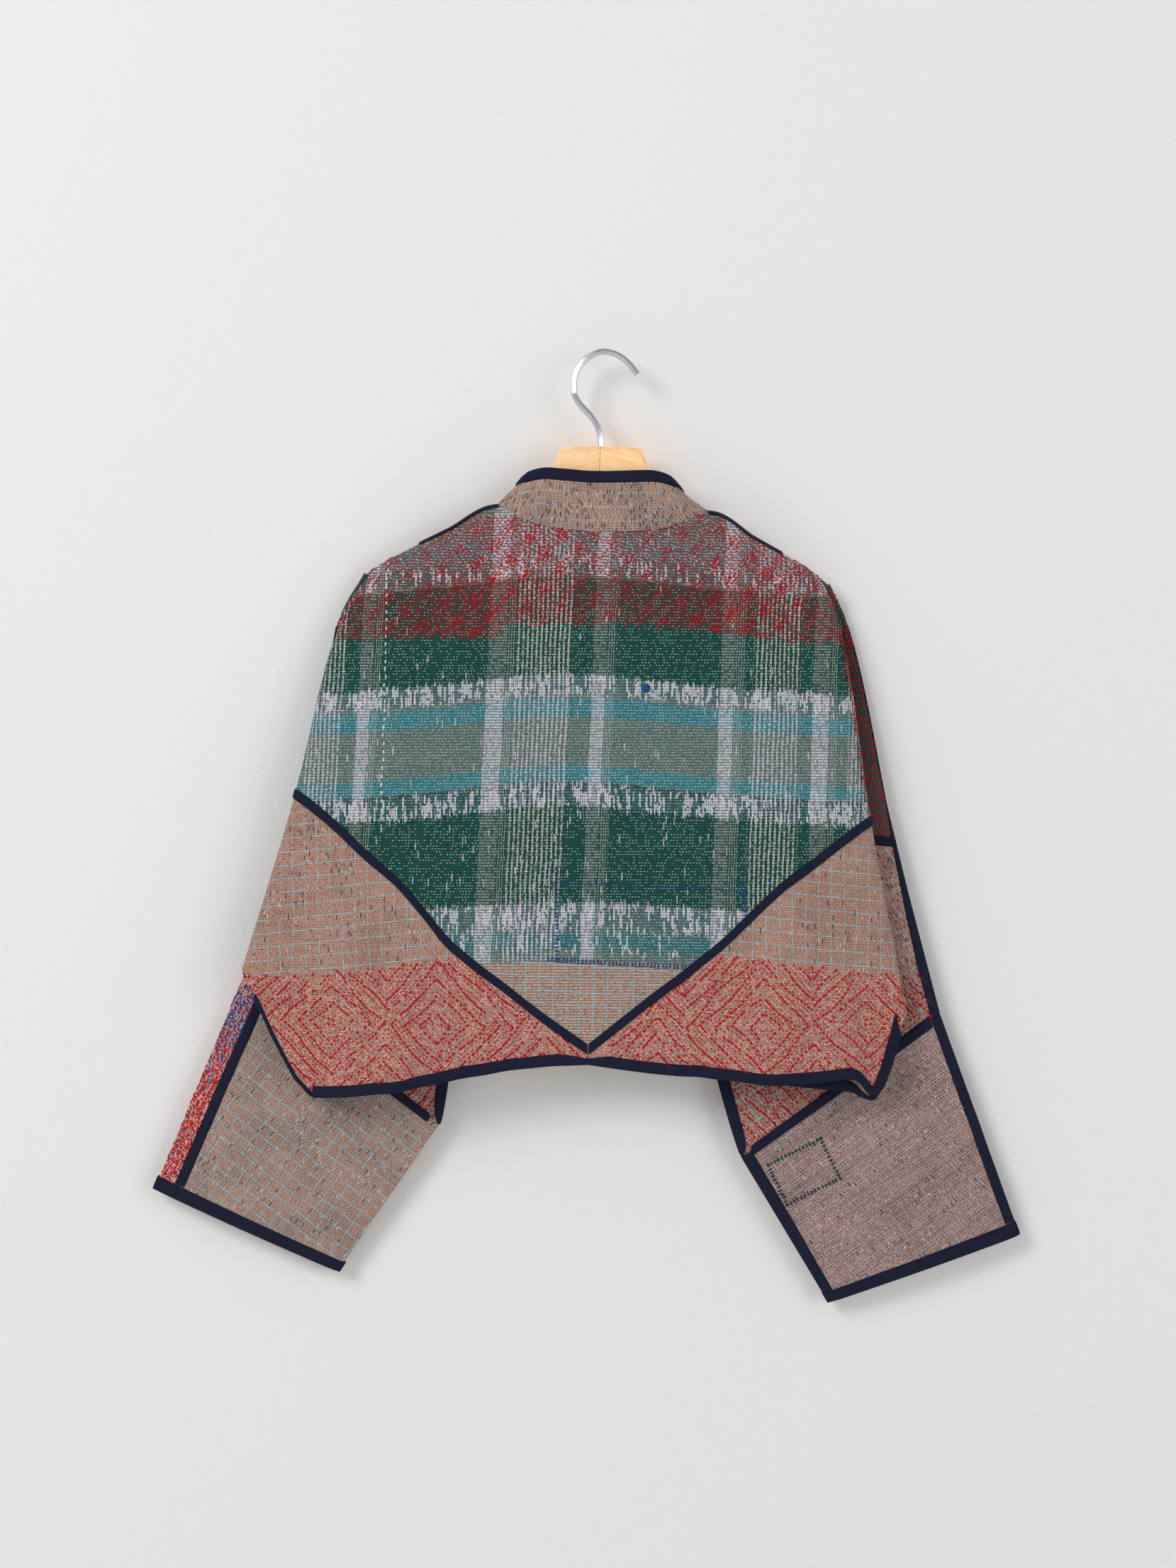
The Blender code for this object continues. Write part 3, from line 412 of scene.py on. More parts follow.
    def cloth_map(self, points: np.ndarray, sleeve: bool) -> np.ndarray:
        """Where each point lies on its cloth, in metres: body grain hangs, sleeve grain follows the arm.

        Args:
            points: A grid whose columns run out from the centre.
            sleeve: Whether the whole grid belongs to the sleeve end.

        Returns:
            Two cloth coordinates for each point.
        """
        steps = np.hypot(np.diff(points[:, :, 0], axis=1), np.diff(points[:, :, 1], axis=1))
        along = np.concatenate([np.zeros((len(points), 1)), np.cumsum(steps, 1)], 1)
        hung = np.stack([points[:, :1, 0] + self.sign * along, -points[:, :, 2]], axis=2)
        origin, across, down = self.sleeve_axes()
        away = points[:, :, [0, 2]] - origin
        armed = np.stack([(away @ across + SLEEVE_MAP[0]) * self.sign, away @ down + SLEEVE_MAP[1]], axis=2)
        if sleeve:
            return armed * MM
        on_arm = (self.places[: points.shape[1]] > STATIONS.index("valley"))[None, :, None]
        return np.where(on_arm, armed, hung) * MM

    def cuff_grid(self, shares: np.ndarray, front: bool) -> np.ndarray:
        """One layer of the sleeve end, at shares of its length."""
        top = self.levels[3, self.column("joint") :].copy()
        width = np.hypot(top[:, 0] - top[0, 0], top[:, 2] - top[0, 2])
        across = width / width[-1]
        cuff = CUFFS[self.sign]
        end = np.empty_like(top)
        for axis, k in ((0, 0), (2, 1)):
            end[:, axis] = cuff.inner[k] + (cuff.outer[k] - cuff.inner[k]) * across
        end[:, 1] = self.cuff_y
        narrower = (self.cuff_open - CLOSED) / (self.arm_open - CLOSED)
        end[:, 3] = CLOSED + (top[:, 3] - CLOSED) * narrower
        grid = top + (end - top) * np.asarray(shares)[:, None, None]
        inside = np.sin(np.pi * across) ** 0.7
        grid[:, :, 1] += relief(grid[:, :, 0], grid[:, :, 2], ARM_CREASES) * inside
        outward = normals(grid[:, :, :3]) * self.sign
        return grid[:, :, :3] + outward * grid[:, :, 3:] / 2 * (-1 if front else 1)

    def cuff_length(self) -> float:
        """The sleeve end's length along its inner edge."""
        joint = self.levels[3, self.column("joint")]
        cuff = CUFFS[self.sign]
        return float(np.hypot(cuff.inner[0] - joint[0], cuff.inner[1] - joint[2]))


def operator(operation: str, reflected: bool = False) -> Callable:
    """A method of a shade that adds one Math node, with its operands the other way round where reflected."""

    def method(self: "Shade", other: Number = 0.0) -> "Shade":
        """The operation's result."""
        pair = (other, self) if reflected else (self, other)
        return self.recipe.math(operation, *pair)

    return method


class Shade:
    """A shader socket whose arithmetic adds Math nodes. A comparison gives one where it holds."""

    def __init__(self, recipe: "Recipe", socket: Socket) -> None:
        """Keeps the socket and the material it belongs to."""
        self.recipe = recipe
        self.socket = socket

    __add__ = operator("ADD")
    __radd__ = operator("ADD", reflected=True)
    __sub__ = operator("SUBTRACT")
    __rsub__ = operator("SUBTRACT", reflected=True)
    __mul__ = operator("MULTIPLY")
    __rmul__ = operator("MULTIPLY", reflected=True)
    __truediv__ = operator("DIVIDE")
    __rtruediv__ = operator("DIVIDE", reflected=True)
    __lt__ = operator("LESS_THAN")
    __gt__ = operator("GREATER_THAN")
    whole = operator("FLOOR")
    fraction = operator("FRACT")
    size = operator("ABSOLUTE")
    least = operator("MINIMUM")
    most = operator("MAXIMUM")


class Recipe:
    """One material, built node by node around a Principled shader."""

    def __init__(self, name: str, gloss: float = 0.22) -> None:
        """Starts an empty material with its shader, whose clear shine is weak on cotton."""
        self.gloss = gloss
        self.colour: Shade | Colour = (0.8, 0.8, 0.8)
        self.material = bpy.data.materials.new(name)
        self.material.use_nodes = True
        self.tree = self.material.node_tree
        self.shader = self.tree.nodes["Principled BSDF"]

    def node(self, kind: str, settings: dict, sockets: dict) -> bpy.types.Node:
        """Adds a node.

        Args:
            kind: The node's type.
            settings: Its own properties, set first; a ramp's stops are given as "stops".
            sockets: A value, a link or a Shade for each named or numbered input.

        Returns:
            The new node.
        """
        made = self.tree.nodes.new(kind)
        for name, value in settings.items():
            if name == "stops":
                ramp = made.color_ramp.elements
                while len(ramp) < len(value):
                    ramp.new(1.0)
                for element, (place, colour) in zip(ramp, value, strict=True):
                    element.position = place
                    element.color = (*colour, 1)
            elif name == "interpolation":
                made.color_ramp.interpolation = value
            else:
                setattr(made, name, value)
        for name, value in sockets.items():
            self.feed(made.inputs[name], value)
        return made

    def feed(self, socket: Socket, value: "Shade | Socket | float | tuple") -> None:
        """Links a socket, or sets its value."""
        if isinstance(value, Shade):
            value = value.socket
        if isinstance(value, Socket):
            self.tree.links.new(value, socket)
        elif isinstance(value, tuple) and len(value) == 3 and socket.type == "RGBA":
            socket.default_value = (*value, 1)
        else:
            socket.default_value = value

    def shade(self, kind: str, settings: dict, sockets: dict) -> Shade:
        """Adds a node and takes its first output."""
        return Shade(self, self.node(kind, settings, sockets).outputs[0])

    def math(self, operation: str, first: Number, second: Number) -> Shade:
        """A Math node's result."""
        return self.shade("ShaderNodeMath", {"operation": operation}, {0: first, 1: second})

    def mix(self, share: Number, first: "Shade | Colour", second: "Shade | Colour") -> Shade:
        """A colour between two."""
        settings = {"data_type": "RGBA", "clamp_factor": True}
        made = self.node("ShaderNodeMix", settings, {0: share, 6: first, 7: second})
        return Shade(self, made.outputs[2])

    def lay(self, share: Number, colour: "Shade | Colour") -> None:
        """Covers the base colour with another, as far as the share says."""
        self.colour = self.mix(share, self.colour, colour)

    def tone(self, amount: Shade) -> None:
        """Makes the base colour lighter or darker by a number around one."""
        sockets = {0: self.colour, "Scale": amount}
        self.colour = self.shade("ShaderNodeVectorMath", {"operation": "SCALE"}, sockets)

    def ramp(self, value: Shade, stops: list[tuple[float, Colour]], hard: bool = False) -> Shade:
        """A colour picked from stops."""
        settings = {"interpolation": "CONSTANT" if hard else "LINEAR", "stops": stops}
        return self.shade("ShaderNodeValToRGB", settings, {0: value})

    def soft_step(self, value: Shade, low: float, high: float) -> Shade:
        """A smooth rise from nought to one between two values."""
        sockets = {0: value, 1: low, 2: high, 3: 0.0, 4: 1.0}
        return self.shade("ShaderNodeMapRange", {"interpolation_type": "SMOOTHSTEP"}, sockets)

    def cloth_places(self) -> tuple[Shade, Shade]:
        """The cloth's own coordinates, in millimetres."""
        uv = self.node("ShaderNodeUVMap", {"uv_map": "cloth"}, {})
        parts = self.node("ShaderNodeSeparateXYZ", {}, {0: uv.outputs[0]})
        return tuple(Shade(self, parts.outputs[k]) * 1000.0 for k in range(2))

    def object_places(self) -> tuple[Shade, Shade, Shade]:
        """The object's coordinates, in millimetres."""
        place = self.node("ShaderNodeTexCoord", {}, {})
        parts = self.node("ShaderNodeSeparateXYZ", {}, {0: place.outputs["Object"]})
        return tuple(Shade(self, parts.outputs[k]) * 1000.0 for k in range(3))

    def on_sleeve(self, u: Shade) -> Shade:
        """One on a sleeve, whose cloth coordinates lie well away from the body's."""
        return self.soft_step(u.size(), 0.6 * SLEEVE_MAP[0], 0.6 * SLEEVE_MAP[0] + 1.0)

    def vector(self, x: Number, y: Number, z: Number = 0.0) -> Shade:
        """Three numbers as one vector."""
        return self.shade("ShaderNodeCombineXYZ", {}, {0: x, 1: y, 2: z})

    def cloud(self, x: Shade, y: Shade, detail: float = 2.0, z: Number = 0.0) -> Shade:
        """Soft noise from nought to one, about one unit across."""
        sockets = {"Vector": self.vector(x, y, z), "Scale": 1.0, "Detail": detail}
        return self.shade("ShaderNodeTexNoise", {}, sockets)

    def chance(self, x: Shade, y: Shade, seed: float) -> Shade:
        """A number from nought to one that is the same all over a cell."""
        return self.shade("ShaderNodeTexWhiteNoise", {}, {"Vector": self.vector(x, y, seed)})

    def dashes(self, u: Shade, v: Shade, cell: tuple, dash: tuple, share: Number, seed: float) -> Shade:
        """Short threads scattered over a grid of cells, each row shifted by its own amount.

        Args:
            u: Places along the rows, in millimetres.
            v: Places across them.
            cell: A cell's width and height.
            dash: A thread's width and height.
            share: How many of the cells hold one.
            seed: Picks the cells.

        Returns:
            One on a thread, otherwise nought.
        """
        row = v / cell[1]
        across = u / cell[0] + self.chance(row.whole(), row.whole(), seed + 3.0)
        held = self.chance(across.whole(), row.whole(), seed) < share
        place = (across.fraction() - 0.5).size() < dash[0] / cell[0] / 2
        level = (row.fraction() - 0.5).size() < dash[1] / cell[1] / 2
        return held * place * level

    def lines(self, u: Shade, pitch: float, width: float) -> Shade:
        """Even lines."""
        return ((u / pitch).fraction() - 0.5).size() < width / pitch / 2

    def finish(self, roughness: Number, height: Shade, depth: float) -> Material:
        """Feeds the shader and hands over the material.

        Args:
            roughness: The roughness.
            height: The relief, in units of the depth.
            depth: How far the relief stands, in millimetres.

        Returns:
            The finished material.
        """
        self.shader.inputs["Specular IOR Level"].default_value = self.gloss
        bump = self.node("ShaderNodeBump", {}, {"Strength": 1.0, "Distance": depth * MM, "Height": height})
        self.feed(self.shader.inputs["Base Color"], self.colour)
        self.feed(self.shader.inputs["Roughness"], roughness)
        self.feed(self.shader.inputs["Normal"], bump.outputs[0])
        return self.material


def paint(*screen: int) -> Colour:
    """A colour given as red, green and blue on a screen, for a shader."""
    parts = (c / 255 for c in screen)
    return tuple(c / 12.92 if c < 0.0405 else ((c + 0.055) / 1.055) ** 2.4 for c in parts)


DARK_GREEN = paint(24, 74, 66)
TEAL = paint(60, 130, 140)
GREY_GREEN = paint(100, 120, 114)
LILAC = paint(222, 206, 218)
CREAM = paint(214, 208, 194)
BROWN = paint(64, 54, 44)
ROSE = paint(176, 140, 124)
RED = paint(196, 14, 32)
SKY = paint(132, 196, 210)
SLATE = paint(42, 52, 76)
PLUM = paint(104, 38, 62)
COBALT = paint(24, 82, 176)
FADED_GREEN = paint(84, 112, 100)


@dataclass(frozen=True)
class PlaidSpot:
    """Where a spot lies on the plaid, in millimetres, and which parts it belongs to, from nought to one."""

    u: Shade
    v: Shade
    sag: Shade
    slub: Shade
    drift: Shade
    level: Shade
    tip: Shade
    arm: Shade
    body: Shade
    dark: Shade
    top: Shade


@dataclass(frozen=True)
class PlaidKantha:
    """The worn green plaid of the yoke, with its pieced tip."""

    ridge: float = 2.6
    fine_pitch: float = 4.3
    crest: float = -30.0
    bow: float = 25.0
    bow_reach: float = 150.0
    lean: float = 0.045
    deep: float = 620.0
    bands: tuple = (
        (0.0, GREY_GREEN), (163.0, TEAL), (185.0, FADED_GREEN), (206.0, DARK_GREEN), (298.5, GREY_GREEN),
        (317.5, BROWN), (319.0, TEAL), (336.5, GREY_GREEN), (381.0, TEAL), (395.5, BROWN),
        (397.5, DARK_GREEN), (508.0, GREY_GREEN), (534.0, TEAL), (549.0, GREY_GREEN), (561.0, ROSE),
    )
    pale_bands: tuple = (
        (307.0, 9.0, 0.5), (409.0, 10.5, 0.5), (521.0, 13.0, 0.44), (197.0, 8.0, 0.3), (544.0, 10.0, 0.22),
    )
    pale_tints: tuple = (
        (0.0, SKY), (0.4, paint(160, 190, 206)), (0.5, LILAC), (0.6, paint(232, 222, 224)),
        (0.68, paint(214, 150, 122)),
    )
    strip_edge: tuple[float, float, float] = (222.0, 258.0, 0.147)
    stripes: tuple = ((-215.0, 6.0), (-93.0, 8.4), (2.5, 6.2), (121.5, 6.5), (210.0, 7.6))
    fine_bands: tuple = ((-50.0, 25.0), (168.0, 23.0), (-252.0, 17.0), (252.0, 15.0))

    def build(self) -> Material:
        """Dyes the cloth, and paints shade into the grooves between its quilted ridges.

        Returns:
            The finished material.
        """
        r = Recipe("plaid kantha")
        spot = self.spot(r)
        u, v = spot.u, spot.v
        self.ground(r, spot)
        thread = r.dashes(u, v, (2.2, 2.6), (1.5, 1.7), 0.74, 2.0)
        bits = r.cloud(u / 2.6, v / 2.2, 2.0)
        pale = r.ramp(bits, list(self.pale_tints))
        self.bars(r, spot, thread, pale)
        self.uprights(r, spot, thread, pale)
        dots = self.sewn(r, spot, bits)
        r.lay(spot.arm * 0.9, DARK_GREEN)
        # The colour is darker in the grooves between the quilted ridges: painted shade. The cloud adds uneven
        # tone.
        ridges = ((v + spot.slub * 0.7) / self.ridge).fraction() - 0.5
        ridge = 1.0 - ridges * ridges * 4.0
        r.tone(0.46 + ridge * 0.5 + r.cloud(u / 26.0, v / 19.0, 3.0) * 0.24)
        height = ridge * (0.5 + 0.5 * r.cloud(u / 2.2, v / 2.2, 2.0)) + dots * 0.3 + thread * 0.16
        return r.finish(0.94, height, 0.55)

    def spot(self, r: Recipe) -> PlaidSpot:
        """Finds the cloth's bands, which bow over the back, and its parts.

        Args:
            r: The material's recipe.

        Returns:
            The spot's places and parts.
        """
        u, v = r.cloth_places()
        away = u - self.crest
        bowed = away * away / (away * away + self.bow_reach**2)
        sag = v - bowed * self.bow * (1.0 - r.soft_step(v, 420.0, 540.0) * 0.5)
        slub = r.cloud(u / 1.3, v / 9.0, 3.0) - 0.5
        drift = r.cloud(u / 60.0, v / 40.0, 1.0) - 0.5
        level = sag + slub * 4.0 + drift * 3.0
        tip = r.soft_step(sag, 560.5, 561.5)
        arm = r.on_sleeve(u)
        dark = r.soft_step(level, 206.0, 207.0) - r.soft_step(level, 298.0, 299.0)
        dark = dark + r.soft_step(level, 418.0, 420.0) - r.soft_step(level, 508.0, 509.0)
        top = 1.0 - r.soft_step(level, 205.0, 207.0)
        return PlaidSpot(u, v, sag, slub, drift, level, tip, arm, (1.0 - tip) * (1.0 - arm), dark, top)

    def ground(self, r: Recipe, spot: PlaidSpot) -> None:
        """Dyes the bands, the warmer parts at the top and the strip past the right fold."""
        u, v = spot.u, spot.v
        stops = [(at / self.deep, tint) for at, tint in self.bands]
        r.colour = r.ramp(spot.level / self.deep, stops, hard=True)
        r.lay(spot.top * (r.cloud(u / 9.0, v / 5.0, 2.0) * 1.4 - 0.1), paint(112, 88, 84))
        limit = 251.5 + 12.5 * r.soft_step(u * -1.0, 88.0, 92.0) + (u - 40.0).most(0.0) * 0.11
        r.lay((1.0 - spot.top) * (v < limit) * 0.24, paint(84, 38, 38))
        across, start, lean = self.strip_edge
        past = r.soft_step(u - across - (v - start) * lean, 0.0, 2.0) * r.soft_step(v, 250.0, 262.0)
        past = past * spot.body * (1.0 - r.soft_step(v, 444.0, 452.0))
        checked = r.dashes(u, v, (3.4, 3.4), (1.6, 1.5), 0.45, 33.0)
        r.lay(past * 0.88, r.mix(checked, paint(40, 50, 46), paint(126, 112, 102)))
        mottle = r.cloud(u / 2.1, v / 1.3, 3.0)
        r.lay(r.soft_step(mottle, 0.5, 0.64) * (1.0 - spot.dark) * 0.6, paint(40, 62, 62))
        r.lay(r.soft_step(mottle, 0.5, 0.36) * (1.0 - spot.dark) * 0.3, paint(150, 172, 172))

    def bars(self, r: Recipe, spot: PlaidSpot, thread: Shade, pale: Shade) -> None:
        """Lays the ragged pale bars across the cloth."""
        u, v = spot.u, spot.v
        for k, (middle, half, share) in enumerate(self.pale_bands):
            ragged = (r.cloud(u / 1.9, v / 30.0, 2.0, k * 3.0) - 0.5) * half * 2.2
            inside = r.soft_step(half - (spot.sag - middle).size() + ragged, -0.8, 0.8) * spot.body
            clump = share + (r.cloud(u / 15.0, v / 30.0, 2.0, k * 5.0) - 0.5) * 1.3
            strand = r.dashes(v, u + spot.slub * 2.0, (15.0, 2.0), (13.0, 1.55), clump, 60.0 + k)
            r.lay(inside * 0.6, r.mix(thread, paint(50, 88, 86), paint(80, 122, 126)))
            r.lay(inside * strand * 0.88, pale)

    def uprights(self, r: Recipe, spot: PlaidSpot, thread: Shade, pale: Shade) -> None:
        """Lays the pale stripes and the fine lines down the cloth."""
        u, v = spot.u, spot.v
        wavy = (r.cloud(u / 5.0, v / 1.6, 1.0) - 0.5) * 0.7
        column = u + spot.drift * 3.0 + (v - 230.0) * self.lean + wavy
        cream = r.mix(spot.top * 0.6, CREAM, paint(232, 192, 178))
        for middle, half in self.stripes:
            stripe = ((column - middle).size() < half) * spot.body
            cover = spot.dark * (0.05 + thread * 0.22) + (1.0 - spot.dark) * (0.26 + thread * 0.58)
            r.lay(stripe * cover, r.mix(spot.dark, pale, cream))
            edge = r.lines(column - middle, 2.3, 0.6) * ((column - middle - half - 4.6).size() < 4.0)
            r.lay(edge * spot.body * 0.4, CREAM)
        worn = r.dashes(v, u, (2.6, 1.1), (1.9, 1.1), 0.74, 5.0)
        for middle, half in self.fine_bands:
            fine = ((column - middle).size() < half) * r.lines(column - middle, self.fine_pitch, 1.7)
            r.lay(fine * spot.body * (0.16 + 0.6 * worn), r.mix(spot.dark, LILAC, CREAM))

    def sewn(self, r: Recipe, spot: PlaidSpot, bits: Shade) -> Shade:
        """Sews the tiny dots, slubs and blue stitches, and the pieced tip.

        Args:
            r: The material's recipe.
            spot: Where a spot lies.
            bits: Noise that breaks up the tip's panes.

        Returns:
            One on a dot, otherwise nought.
        """
        u, v = spot.u, spot.v
        dots = r.dashes(u, v, (2.9, self.ridge), (1.1, 0.85), 0.5, 9.0)
        r.lay(dots * 0.62 * (1.0 - spot.tip), paint(206, 214, 208))
        share = r.soft_step(spot.sag, 300.0, 420.0) * 0.05 + 0.02
        slubs = r.dashes(v, u + spot.slub * 1.5, (15.0, 2.4), (7.0, 0.9), share, 14.0)
        r.lay(slubs * 0.7 * spot.body, LILAC)
        blues = r.dashes(u, v, (4.0, 5.0), (2.2, 1.4), 0.12, 21.0) * r.soft_step(spot.sag, 306.0, 320.0)
        r.lay(blues * 0.5 * spot.body, TEAL)
        rows = r.dashes(u, v, (2.6, self.ridge), (1.3, 1.2), 0.6, 31.0)
        r.lay(rows * spot.tip * 0.5, paint(216, 196, 184))
        panes = (r.lines(u + spot.drift * 4.0, 12.4, 1.0) + r.lines(v - u * 0.07, 12.2, 0.9)).least(1.0)
        r.lay(panes * spot.tip * r.soft_step(bits, 0.4, 0.5) * 0.8, SKY)
        return dots


class Worked(Enum):
    """What is sewn over a plain kantha."""

    NOTHING = 0
    RED_BELOW = 1
    PLUM_ROWS = 2
    ROLLED_RED = 3


@dataclass(frozen=True)
class PaneKantha:
    """A soft ground with a light-blue windowpane, tiny dark dots, slubs, and what is sewn over it."""

    name: str
    ground: Colour
    second: Colour
    pane: tuple[float, float] = (12.2, 12.2)
    pane_share: float = 0.62
    pane_width: float = 1.0
    tilt: float = 0.0
    dots: Colour = SLATE
    dot_share: float = 0.5
    slub: Colour = SLATE
    slub_share: float = 0.05
    worked: Worked = Worked.NOTHING

    def build(self) -> Material:
        """Dyes the cloth, and paints shade into the grooves between its quilted ridges.

        Returns:
            The finished material.
        """
        r = Recipe(self.name)
        u, v = r.cloth_places()
        waver = (r.cloud(u / 34.0, v / 34.0, 2.0) - 0.5) * 5.0
        patch = r.cloud(u / 46.0 + 7.0, v / 38.0, 3.0)
        r.colour = r.mix(r.soft_step(patch, 0.35, 0.7), self.ground, self.second)
        speck = r.cloud(u / 0.9, v / 0.9, 2.0)
        r.tone(0.6 + speck * 0.66 + r.cloud(u / 9.0, v / 9.0, 3.0) * 0.22)
        weave = r.dashes(u, v, (2.6, 2.6), (1.4, 1.2), 0.6, 4.0)
        r.lay(weave * 0.34, paint(206, 176, 156))
        r.lay(r.dashes(u, v, (3.6, 2.6), (1.3, 1.1), self.dot_share, 7.0) * 0.66, self.dots)
        broken = r.cloud(u / 2.4, v / 2.4, 1.0)
        upright = r.lines(u + waver * 0.5, self.pane[0], self.pane_width) * r.soft_step(broken, 0.42, 0.56)
        fall = v - u.size() * self.tilt
        level = r.lines(fall + waver * 0.5, self.pane[1], self.pane_width) * r.soft_step(broken, 0.38, 0.52)
        r.lay(upright.most(level) * self.pane_share, SKY)
        r.lay(r.dashes(v, u, (8.0, 2.4), (4.4, 1.2), self.slub_share * patch * 2.0, 12.0) * 0.8, self.slub)
        r.lay(r.dashes(v, u, (8.0, 2.6), (3.4, 1.0), 0.06, 17.0) * 0.7, paint(226, 204, 170))
        if self.worked is Worked.RED_BELOW:
            self.below(r, u, v, speck)
        elif self.worked is Worked.PLUM_ROWS:
            r.lay(r.dashes(u, v, (3.1, 2.6), (1.8, 1.2), patch * 1.2, 61.0) * 0.6, paint(84, 50, 56))
            pale_row = r.lines(v + waver * 0.5, 12.2, 1.0) * r.soft_step(broken, 0.46, 0.56)
            r.lay(pale_row * 0.5, paint(190, 206, 214))
        elif self.worked is Worked.ROLLED_RED:
            r.lay(r.dashes(u + v * 0.4, v, (4.6, 2.5), (3.2, 1.6), 0.46, 71.0) * 0.92, RED)
            r.lay(r.dashes(u + v * 0.4, v, (5.1, 2.9), (2.8, 1.4), 0.32, 75.0) * 0.9, SLATE)
        pitch = ((v + waver * 0.2) / 2.3).fraction() - 0.5
        ridge = 1.0 - pitch * pitch * 4.0
        height = ridge * 0.5 + r.cloud(u / 2.4, v / 2.4, 3.0) * 0.8 + weave * 0.1
        # The colour is darker in the grooves between the quilted ridges: painted shade.
        r.tone(0.72 + ridge * 0.28)
        return r.finish(0.94, height, 0.42)

    def below(self, r: Recipe, u: Shade, v: Shade, speck: Shade) -> None:
        """Dyes a gusset's red part, whose darker mottled ground is partly painted shade between the stitches,
        its stray stitches, and the plum stitches of its sleeve.

        Args:
            r: The material's recipe.
            u: Places across the cloth.
            v: Places down it.
            speck: Fine noise of the ground.
        """
        arm = r.on_sleeve(u)
        start = RED_FROM + RED_FALL * r.soft_step(u.size(), *FALL_SPAN)
        red = r.soft_step(v - start, -1.0, 3.0) * (1.0 - arm)
        # The red part's ground is mottled dark and light: partly the cloth's own mottle, and its dark specks
        # partly painted shade between the stitches.
        deep = r.soft_step(speck, 0.38, 0.62)
        r.lay(red * 0.85, r.mix(deep, paint(112, 66, 62), paint(216, 162, 144)))
        salmon = r.dashes(u + v, v - u, (5.2, 3.6), (3.4, 1.6), 0.4, 49.0) * red
        r.lay(salmon * 0.75, paint(236, 186, 162))
        few = r.dashes(u + v, v, (9.0, 4.4), (3.2, 1.2), 0.2, 53.0) * (1.0 - arm)
        near = r.soft_step(u * -1.0, 205.0, 250.0) * (1.0 - red)
        r.lay(few * near * 0.8, paint(168, 40, 48))
        plum = r.dashes(v, u, (4.4, 3.2), (3.0, 1.1), 0.4, 57.0) * arm
        r.lay(plum * 0.85, PLUM)


@dataclass(frozen=True)
class NavyCotton:
    """The bias strips: navy cotton, puckered across by its stitches."""

    pucker: float = 2.7

    def build(self) -> Material:
        """Dyes the cloth, and paints shade into the troughs of its puckers.

        Returns:
            The finished material.
        """
        r = Recipe("navy cotton")
        u, v = r.cloth_places()
        waver = r.cloud(u / 7.0, v / 5.0, 2.0)
        rib = ((u + waver * 4.0 + v * 0.4) / self.pucker).fraction() - 0.5
        rib = 1.0 - rib * rib * 4.0
        thread = r.cloud(u / 0.5, v / 0.5, 1.0)
        # The colour is lighter on the puckers' crests and darker in their troughs, following the rib: painted
        # shade. The cloud adds real uneven wear.
        worn = rib * 0.5 + r.cloud(u / 12.0, v / 6.0, 2.0) * 0.4
        r.colour = r.mix(worn, paint(11, 15, 34), paint(23, 30, 56))
        r.tone(0.8 + thread * 0.32)
        return r.finish(0.86, rib * (0.4 + waver) + thread * 0.25, 0.3)


@dataclass(frozen=True)
class Thread:
    """A stitch's cotton."""

    name: str
    colour: Colour

    def build(self) -> Material:
        """Dyes the cotton.

        Returns:
            The finished material.
        """
        r = Recipe(self.name)
        x, y, z = r.object_places()
        twist = r.cloud(x / 0.9, z / 0.9, 2.0, y / 0.9)
        r.colour = self.colour
        r.tone(0.72 + twist * 0.5)
        return r.finish(0.8, twist, 0.12)


@dataclass(frozen=True)
class Beech:
    """Lacquered beech with a glued joint behind the hook."""

    joint: float = 0.7

    def build(self) -> Material:
        """Finishes the wood, and lightens it all over with a painted highlight.

        Returns:
            The finished material.
        """
        r = Recipe("beech", 0.5)
        x, y, z = r.object_places()
        slope = z + x.size() * 0.34
        long_grain = r.cloud(x / 42.0, slope / 2.6, 4.0, y / 6.0)
        flecks = r.dashes(x + slope * 0.3, slope, (5.2, 1.1), (2.4, 0.4), 0.2, 5.0)
        wide = r.cloud(x / 90.0, slope / 11.0, 2.0, y / 20.0)
        stops = [(0.3, paint(252, 172, 108)), (0.5, paint(255, 202, 144)), (0.7, paint(255, 222, 172))]
        r.colour = r.ramp(long_grain * 0.6 + wide * 0.4, stops)
        r.lay(flecks * 0.4, paint(176, 110, 62))
        glue = (x - self.joint - (z + 85.0) * 0.04).size() < 0.35
        r.lay(glue * 0.55, paint(120, 72, 40))
        # The wood is lightened all over by a twentieth: a painted highlight. The piece past the glued joint
        # is a little lighter still.
        rest = r.soft_step(x, self.joint - 0.2, self.joint + 0.2)
        r.tone(1.05 + rest * 0.05)
        r.shader.inputs["Coat Weight"].default_value = 0.25
        r.shader.inputs["Coat Roughness"].default_value = 0.3
        return r.finish(0.42 + long_grain * 0.12, long_grain + flecks * 0.4, 0.05)


@dataclass(frozen=True)
class Wire:
    """Bright drawn aluminium wire."""

    def build(self) -> Material:
        """Finishes the metal.

        Returns:
            The finished material.
        """
        r = Recipe("aluminium wire", 0.5)
        x, y, z = r.object_places()
        drawn = r.cloud(x / 5.0, z / 5.0, 3.0, y / 0.4)
        r.colour = r.mix(drawn, paint(186, 188, 192), paint(222, 224, 228))
        r.shader.inputs["Metallic"].default_value = 1.0
        return r.finish(0.2 + drawn * 0.16, drawn, 0.03)


